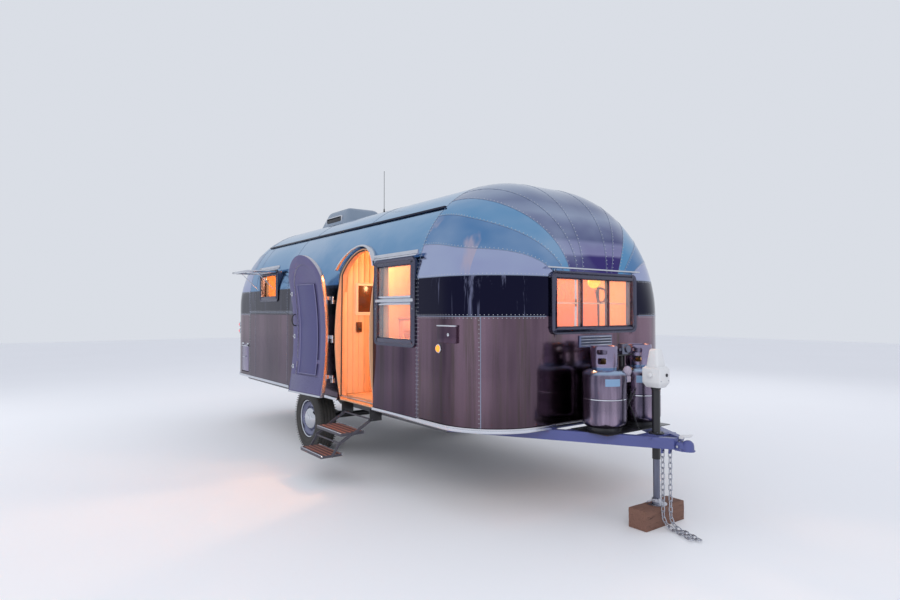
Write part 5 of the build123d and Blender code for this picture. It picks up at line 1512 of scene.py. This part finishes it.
# Nose jack
jack = dict(x=-0.25, halfLong=0.074, halfWide=0.060, bodyHigh=0.530, topHigh=0.665, knobZ=0.48)


def makeJack():
    j = jack
    half, wide, x = j["halfLong"], j["halfWide"], j["x"]
    lower = boxPiece("jackBody", (x - half, -wide, 0.425), (x + half, wide, j["bodyHigh"]))
    pick(lower, "FACE", lambda place, normal: normal.z < -0.9)
    bpy.ops.mesh.extrude_region_move(TRANSFORM_OT_translate=dict(value=(0, 0, -0.035)))
    bpy.ops.transform.resize(value=(0.72, 0.72, 1), center_override=(x, 0, 0.39))
    done()
    pick(lower, "FACE", lambda place, normal: normal.z > 0.9)
    bpy.ops.mesh.inset(thickness=0.012)
    bpy.ops.mesh.extrude_region_move(TRANSFORM_OT_translate=dict(value=(0, 0, 0.012)))
    done()
    soften(lower, 0.016, 4, 25)
    upper = boxPiece("jackTop", (x - 0.052, -0.052, 0.530), (x + 0.052, 0.052, j["topHigh"]))
    pick(upper, "FACE", lambda place, normal: normal.z > 0.9)
    bpy.ops.transform.resize(value=(0.66, 0.66, 1), center_override=(x, 0, j["topHigh"]))
    done()
    soften(upper, 0.016, 4, 25)
    parts = [paint(lower, "white"), paint(upper, "white")]
    add(parts, "white", drum("jackKnob", (x, -wide, j["knobZ"]), 0.016, 0.020, (0, -1, 0), 0.004, 24))
    add(parts, "dark", drum("jackPlug", (x + half - 0.001, 0.02, j["knobZ"]), 0.012, 0.006, (1, 0, 0), 0.002, 20))
    for y in (-0.045, 0.045):
        add(parts, "zinc", dome("jackScrew", (x + half - 0.0015, y, 0.44), 0.005, 0.003, (1, 0, 0), 12, 3))
    finished("jackHead", "body", parts, ("jack_head",), 40)
    column = [paint(shaped("jack_column", 0.002), "black")]
    add(column, "dark", lathe("columnCollar", [(0.0287, 0.372), (0.034, 0.376), (0.034, 0.390), (0.0287, 0.392)],
                              (x, 0, 0), steps=32, closed=True))
    for angle in (45, 135, 225, 315):
        turn = math.radians(angle)
        add(column, "zinc", drum("plateBolt", (x + 0.043 * math.cos(turn), 0.043 * math.sin(turn), 0.069), 0.007,
                                 0.006, (0, 0, 1), 0.0015, 6))
    finished("jackColumn", "body", column, ("jack_column",), 40)
    low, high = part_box("jack_leg")
    legParts = [paint(lathe("legTube", [(0, low.z + 0.004), (0.0238, low.z + 0.004), (0.0238, high.z - 0.002),
                                        (0, high.z - 0.002)], (x, 0, 0), steps=36), "zinc")]
    foot = lathe("legFoot", [(0, low.z), (0.071, low.z), (0.072, low.z + 0.004), (0.068, low.z + 0.008),
                             (0.050, low.z + 0.010), (0.036, low.z + 0.018), (0.034, low.z + 0.040),
                             (0.030, low.z + 0.043), (0, low.z + 0.043)], (x, 0, 0), steps=44)
    add(legParts, "zincBright", foot)
    add(legParts, "bright", drum("footPin", (x, -0.040, low.z + 0.030), 0.005, 0.080, (0, 1, 0), 0.001, 14))
    finished("jackLeg", "jack_leg", legParts, ("jack_leg",), 40)
    low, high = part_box("timber_block")
    block = boxPiece("block", low, high)
    pick(block, "EDGE", lambda place, run: True)
    bpy.ops.mesh.subdivide(number_cuts=5)
    done()
    for point in block.data.vertices:
        for k in (0, 2):
            if abs(point.co[k] - low[k]) < 1e-4 and k == 0:
                point.co[k] += random.uniform(0, 0.003)
            if abs(point.co[k] - high[k]) < 1e-4 and (k == 0 or abs(point.co.x - jack["x"]) > 0.073):
                point.co[k] -= random.uniform(0, 0.003)
    finished("timberBlock", "body", [paint(soften(block, 0.004, 2, 40), "timber")], ("timber_block",), 30)
    print("jack made")


# Tow frame, coupler and safety chains
chain = dict(wire=0.008, halfLink=0.019, halfWide=0.016, eyes=((-0.150, -0.072), (-0.112, -0.040)),
             outY=(-0.150, -0.118),
             bend=0.090, count=20, seat=0.0003, run=0.320)


def along(path, distance):
    for first, last in zip(path, path[1:]):
        length = (last - first).length
        if distance <= length:
            return first.lerp(last, distance / length)
        distance -= length
    return path[-1].copy()


def heading(path, distance):
    c = chain
    return (along(path, distance + c["halfLink"]) - along(path, max(distance - c["halfLink"], 0))).normalized()


def nextLink(path, distance):
    c = chain
    pitch = 2 * c["halfLink"]
    for _ in range(4):  # each round fits the pitch to the bend that it finds
        turn = heading(path, distance).angle(heading(path, distance + pitch))
        bar = c["halfLink"] + c["wire"] / 2
        room = c["halfLink"] - c["seat"] + bar * math.cos(turn) - c["wire"] / 2 * (math.cos(turn) + math.sin(turn))
        pitch = room / math.cos(turn / 2)
    return distance + pitch


def makeChains():
    c = chain
    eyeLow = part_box("a_frame")[0].z
    groundRun = ground + c["halfWide"] + c["seat"]
    deselect()
    bpy.ops.mesh.primitive_torus_add(major_segments=20, minor_segments=8,
                                     major_radius=c["halfWide"] - c["wire"] / 2, minor_radius=c["wire"] / 2)
    model = bake(bpy.context.object)
    stretch = c["halfLink"] + c["wire"] - c["halfWide"]
    pick(model, "VERT", lambda place, normal: place.x > 0.001)
    bpy.ops.transform.translate(value=(stretch, 0, 0))
    done()
    pick(model, "VERT", lambda place, normal: place.x < -0.001)
    bpy.ops.transform.translate(value=(-stretch, 0, 0))
    done()
    links = []
    for (x, y), outY in zip(c["eyes"], c["outY"]):
        path = [Vector((x, y, eyeLow + 0.010 + c["seat"] - c["halfLink"]))]
        for turn in range(0, 91, 15):
            forward = c["bend"] * (1 - math.cos(math.radians(turn)))
            path.append(Vector((x + forward, y, groundRun + c["bend"] * (1 - math.sin(math.radians(turn))))))
        path.append(Vector((x + c["run"], outY, groundRun)))
        distance = 0
        across = Vector((0, 1, 0))
        for k in range(c["count"]):
            direction = heading(path, distance)
            roll = across if k % 2 else direction.cross(across)
            normal = direction.cross(roll).normalized()
            side = normal.cross(direction).normalized()
            turned = Matrix((direction, side, normal)).transposed().to_4x4()
            link = twin(model)
            link.data.transform(Matrix.Translation(along(path, distance)) @ turned)
            add(links, "zincBright", link)
            distance = nextLink(path, distance)
    bpy.data.objects.remove(model)
    finished("safetyChains", "body", links, ("safety_chains",), 60)


def makeTowFrame():
    parts = [paint(shaped("a_frame", 0.004), "steelBlue")]
    for side in (-1, 1):
        plateLow = boxPiece("gusset", (-0.30, side * 0.075 - 0.02, 0.0595),
                            (-0.21, side * 0.075 + 0.02, 0.063), 0.001)
        add(parts, "steelBlue", plateLow)
    finished("towFrame", "body", parts, ("a_frame",), 30)
    shell = boxPiece("couplerShell", (-0.070, -0.052, -0.012), (0.004, 0.052, 0.036))
    pick(shell, "FACE", lambda place, normal: normal.x > 0.9)
    bpy.ops.transform.resize(value=(1, 0.80, 0.86), center_override=(0, 0, -0.012))
    done()
    pick(shell, "FACE", lambda place, normal: normal.z > 0.5)
    bpy.ops.transform.resize(value=(1, 0.72, 1), center_override=(0, 0, 0.04))
    done()
    parts = [paint(soften(shell, 0.008, 3, 25), "steelBlue")]
    socket = lathe("couplerSocket", [(0.030, -0.020), (0.046, -0.020), (0.046, -0.013), (0.040, -0.008),
                                     (0.039, 0.018), (0.035, 0.034), (0.025, 0.047), (0.012, 0.053),
                                     (0, 0.054), (0, 0.036), (0.020, 0.030), (0.029, 0.010),
                                     (0.030, -0.010)], (0, 0, 0), steps=40)
    add(parts, "steelBlue", socket)
    for side in (-1, 1):
        lip = boxPiece("couplerLip", (-0.070, side * 0.052 - 0.004, -0.020),
                       (-0.004, side * 0.052 + 0.004, -0.010), 0.002)
        add(parts, "steelBlue", lip)
    for x, y in ((-0.055, -0.020), (-0.055, 0.020)):
        add(parts, "zincBright", drum("couplerBolt", (x, y, 0.0335), 0.007, 0.006, (0, 0, 1), 0.002, 6))
    for side in (-1, 1):
        add(parts, "zincBright", drum("pinHead", (-0.050, side * 0.050, 0.008), 0.009, 0.006,
                                      (0, side, 0), 0.0015, 20))
    finished("couplerBody", "body", parts, ("coupler",), 30)
    dressed("couplerLever", "coupler_lever", "white", 0.003, segments=3, angle=40)
    makeChains()
    print("tow frame made")


# Lamps, hatches, trim and roof fittings
def makeLamps():
    bezels, ambers, reds = [], [], []
    low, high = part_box("marker_lamps")
    x, z = (low.x + high.x) / 2, (low.z + high.z) / 2
    for side in (-1, 1):
        out = (0, side, 0)
        base = (x, side * body["half"], z)
        add(bezels, "bright", lathe("bezel", [(0.034, 0.0), (0.034, 0.006), (0.029, 0.010), (0.026, 0.008),
                                              (0.026, 0.0)], base, out, 36, True))
        add(ambers, "amber", dome("lens", (x, side * (body["half"] + 0.003), z), 0.027, 0.0185, out, 32))
    low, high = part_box("tail_lamps")
    turn = math.radians(20)
    for side in (-1, 1):
        out = Vector((-math.sin(turn), side * math.cos(turn), 0))
        centre = Vector((body["tail"] + body["corner"], side * (body["half"] - body["corner"]),
                         0)) + out * (body["corner"] - 0.002)
        for height in (1.240, 1.330):
            base = Vector((centre.x, centre.y, above(height)))
            add(bezels, "bright", lathe("bezel", [(0.036, -0.004), (0.036, 0.010), (0.031, 0.015), (0.028, 0.012),
                                                  (0.028, -0.004)], base, out, 36, True))
            add(reds, "red", dome("lens", base + out * 0.004, 0.029, 0.020, out, 32))
    finished("lampBezels", "body", bezels, ("marker_lamps",), 40)
    finished("amberLenses", "body", ambers, (), 60)
    finished("redLenses", "body", reds, ("tail_lamps",), 60)


def makeBodyTrim():
    hatch = shaped("small_hatch", 0.003, 3)
    low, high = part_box("small_hatch")
    parts = [paint(hatch, "skin")]
    lid = boxPiece("hatchRail", (low.x - 0.006, low.y - 0.002, high.z - 0.004),
                   (high.x + 0.006, low.y + 0.03, high.z + 0.008), 0.003)
    add(parts, "bright", lid)
    add(parts, "bright", drum("hatchLatch", ((low.x + high.x) / 2 + 0.04, low.y + 0.001, (low.z + high.z) / 2),
                              0.013, 0.007, (0, -1, 0), 0.002, 20))
    finished("smallHatch", "body", parts, ("small_hatch",), 30)
    low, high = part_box("service_door")
    parts = [paint(shaped("service_door", 0.002), "serviceDoor")]
    add(parts, "bright", boxPiece("serviceRail", (low.x, low.y - 0.003, high.z - 0.030),
                                  (high.x, low.y + 0.012, high.z - 0.018), 0.002))
    middle, z = (low.x + high.x) / 2, low.z + 0.19
    path = [(middle - 0.03, low.y + 0.010, z), (middle - 0.03, low.y - 0.004, z),
            (middle + 0.03, low.y - 0.004, z), (middle + 0.03, low.y + 0.010, z)]
    pull = tube("servicePull", path, 0.004, 2)
    add(parts, "bright", pull)
    finished("serviceDoor", "service_door", parts, ("service_door",), 30)
    dressed("rearLocker", "rear_locker", "underside", 0.001)
    parts = [paint(shaped("nose_louvre", 0.001), "plateBlue")]
    low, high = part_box("nose_louvre")
    back = high.x
    for k in range(7):
        z = low.z + 0.012 + k * 0.011
        slat = boxPiece("slat", (back - 0.004, low.y + 0.012, z), (back + 0.005, high.y - 0.012, z + 0.005), 0.001)
        # dark slats stand in for the shaded gaps between the bright blades: painted shade
        add(parts, "dark" if k % 2 else "bright", slat)
    finished("noseLouvre", "body", parts, ("nose_louvre",), 30)
    dressed("rearBumper", "bumper", "bright", 0.006, segments=3, angle=35)
    dressed("baseRail", "base_rail", "bright", 0.003, angle=30)
    line = []
    reach = body["corner"] + 0.0135
    for side in (1, -1):
        corner = [(body["nose"] - body["corner"] + reach * math.cos(math.radians(a)),
                   body["half"] - body["corner"] + reach * math.sin(math.radians(a)), 0.0925)
                  for a in range(0, 91, 9)]
        corner = [(x, side * y, z) for x, y, z in corner]
        line += corner[::-1] if side > 0 else corner
    ends = [(body["frontSeam"] + 0.02, line[k][1], 0.0925) for k in (0, -1)]
    line = ends[:1] + line + ends[1:]
    finished("frontRubLine", "body", [paint(tube("rubLine", line, 0.0055, 2, False, False), "brightLine")], (), 60)
    dressed("bellyPan", "belly_pan", "underside", 0.004, angle=30)
    dressed("wheelWells", "wheel_wells", "underside", 0.002, angle=30)
    dressed("floorSheet", "floor", "lino", 0.002, angle=30)
    dressed("axleTube", "axle", "black", 0.003, angle=40)
    print("body trim made")


def makeRoofFittings():
    low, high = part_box("air_unit")
    unit = boxPiece("unitShell", (low.x, low.y, body["crown"] - 0.02), (high.x, high.y, high.z - 0.012))
    pick(unit, "FACE", lambda place, normal: normal.z > 0.9)
    bpy.ops.transform.resize(value=(0.62, 0.70, 1), center_override=(low.x + 0.36, 0, high.z))
    done()
    soften(unit, 0.060, 5, 18)
    parts = [paint(unit, "unit")]
    for side in (-1, 1):
        mouth = roundedBox("unitMouth", (low.x + 0.20, side * 0.262 - 0.020, 2.090),
                           (low.x + 0.62, side * 0.262 + 0.020, 2.170), 0.03, 1, 0.004)
        add(parts, "dark", mouth)
        lip = ringFrame("unitLip", (low.x + 0.185, side * 0.264 - 0.019, 2.075),
                        (low.x + 0.635, side * 0.264 + 0.019, 2.185), 0.014, 0.03, 1, 0.003)
        add(parts, "bright", lip)
    seam = boxPiece("unitSkirt", (low.x + 0.004, low.y + 0.004, 2.046),
                    (high.x - 0.004, high.y - 0.004, 2.058), 0.004)
    add(parts, "dark", seam)
    finished("airUnit", "body", parts, ("air_unit",), 32)
    dressed("roofVents", "roof_vents", "dark", 0.008, segments=3, angle=35)
    low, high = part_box("roof_rails")
    rails = [paint(sideBox("rail", side, low.x, high.x, high.y - 0.026, high.y,
                           low.z + 0.006, low.z + 0.022, 0.004), "rail") for side in (-1, 1)]
    finished("roofRails", "body", rails, ("roof_rails",), 35)
    low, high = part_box("aerial")
    x, y = (low.x + high.x) / 2, (low.y + high.y) / 2
    base = lathe("aerialBase", [(0, low.z), (0.016, low.z), (0.015, low.z + 0.018), (0.009, low.z + 0.030),
                                (0.007, low.z + 0.060), (0.004, low.z + 0.066), (0.003, low.z + 0.075),
                                (0.0026, high.z - 0.004), (0.0034, high.z - 0.003), (0.0034, high.z),
                                (0, high.z)], (x, y, 0), steps=16)
    finished("aerialWhip", "body", [paint(base, "dark")], ("aerial",), 40)
    print("roof fittings made")


for stage in (makeShell, makeSeams, makePanes, makeDoor, makeCabin, makeSoftGoods, makeWheels, makeSteps, makeTanks,
              makeTankFittings, makeJack, makeTowFrame, makeLamps, makeBodyTrim, makeRoofFittings, makeRivets):
    stage()
paint(nodes["sash_glass"], "glass")


# Floor, light and camera
backdrop = dict(floor=((0.84, 0.84, 0.85), (0.87, 0.87, 0.88)), light=(0.86, 0.90, 1.0), lightStrength=0.88,
                seen=(0.70, 0.73, 0.79))
studioLamps = dict(  # place, energy
    keyLamp=((4.5, -6.5, 5.0), 240), fillLamp=((-8.0, -7.0, 4.0), 110), backLamp=((-4.0, 8.0, 6.0), 110))
cabinLamps = dict(places=(-1.45, -2.9, -4.2, -5.4), energies=(45, 60, 45, 35), height=above(2.25),
                  colour=(1.0, 0.55, 0.27))
view = dict(lens=24.0, film=36.0, place=(2.341, -3.751, above(1.506)), tilt=91.12, turn=53.53)


def makeStage():
    deselect()
    bpy.ops.mesh.primitive_plane_add(size=60, location=(-3, 0, ground))
    floor = bpy.context.object
    floor.name = "studioFloor"
    paper = Finish("studioFloor", Roughness=0.8)
    speck = paper.noise(0.4, 2.0)
    tone = paper.mix(speck, *(rgb(*shade) for shade in backdrop["floor"]))
    floor.data.materials.append(paper.feed(Base_Color=tone))
    world = bpy.data.worlds.new("studioWorld")
    scene.world = world
    world.use_nodes = True
    tree = world.node_tree
    tree.nodes.clear()
    rays, seen, both, soft, plain, blend, out = (tree.nodes.new("ShaderNode" + kind) for kind in (
        "LightPath", "Math", "Math", "Background", "Background", "MixShader", "OutputWorld"))
    seen.operation = both.operation = "MAXIMUM"
    soft.inputs[0].default_value = rgb(*backdrop["light"])
    soft.inputs[1].default_value = backdrop["lightStrength"]
    plain.inputs[0].default_value = rgb(*backdrop["seen"])
    plain.inputs[1].default_value = 1.0
    for source, target in (
            (rays.outputs["Is Camera Ray"], seen.inputs[0]), (rays.outputs["Is Glossy Ray"], seen.inputs[1]),
            (seen.outputs[0], both.inputs[0]), (rays.outputs["Is Transmission Ray"], both.inputs[1]),
            (both.outputs[0], blend.inputs[0]), (soft.outputs[0], blend.inputs[1]),
            (plain.outputs[0], blend.inputs[2]), (blend.outputs[0], out.inputs[0])):
        tree.links.new(source, target)


def addLamp(name, kind, place, target, energy, size, colour=(1, 1, 1)):
    data = bpy.data.lights.new(name, kind)
    data.energy = energy
    data.color = colour
    if kind == "AREA":
        data.size = size
    else:
        data.shadow_soft_size = size
    lamp = bpy.data.objects.new(name, data)
    scene.collection.objects.link(lamp)
    lamp.location = place
    lamp.visible_glossy = kind == "POINT"
    if target:
        lamp.rotation_euler = (Vector(target) - Vector(place)).to_track_quat("-Z", "Y").to_euler()


def makeLights():
    for name, (place, energy) in studioLamps.items():
        addLamp(name, "AREA", place, (-3, 0, 0.5), energy, 5.0)
    for k, (x, energy) in enumerate(zip(cabinLamps["places"], cabinLamps["energies"])):
        addLamp(f"cabinLamp{k}", "POINT", (x, 0.1, cabinLamps["height"]), None, energy, 0.12, cabinLamps["colour"])


def makeCamera():
    data = bpy.data.cameras.new("photoCamera")
    data.lens = view["lens"]
    data.sensor_width = view["film"]
    camera = bpy.data.objects.new("photoCamera", data)
    scene.collection.objects.link(camera)
    camera.location = view["place"]
    camera.rotation_euler = (math.radians(view["tilt"]), 0, math.radians(view["turn"]))
    scene.camera = camera


makeStage()
makeLights()
makeCamera()
scene.view_settings.view_transform = "Standard"

print("stage, light and camera set")
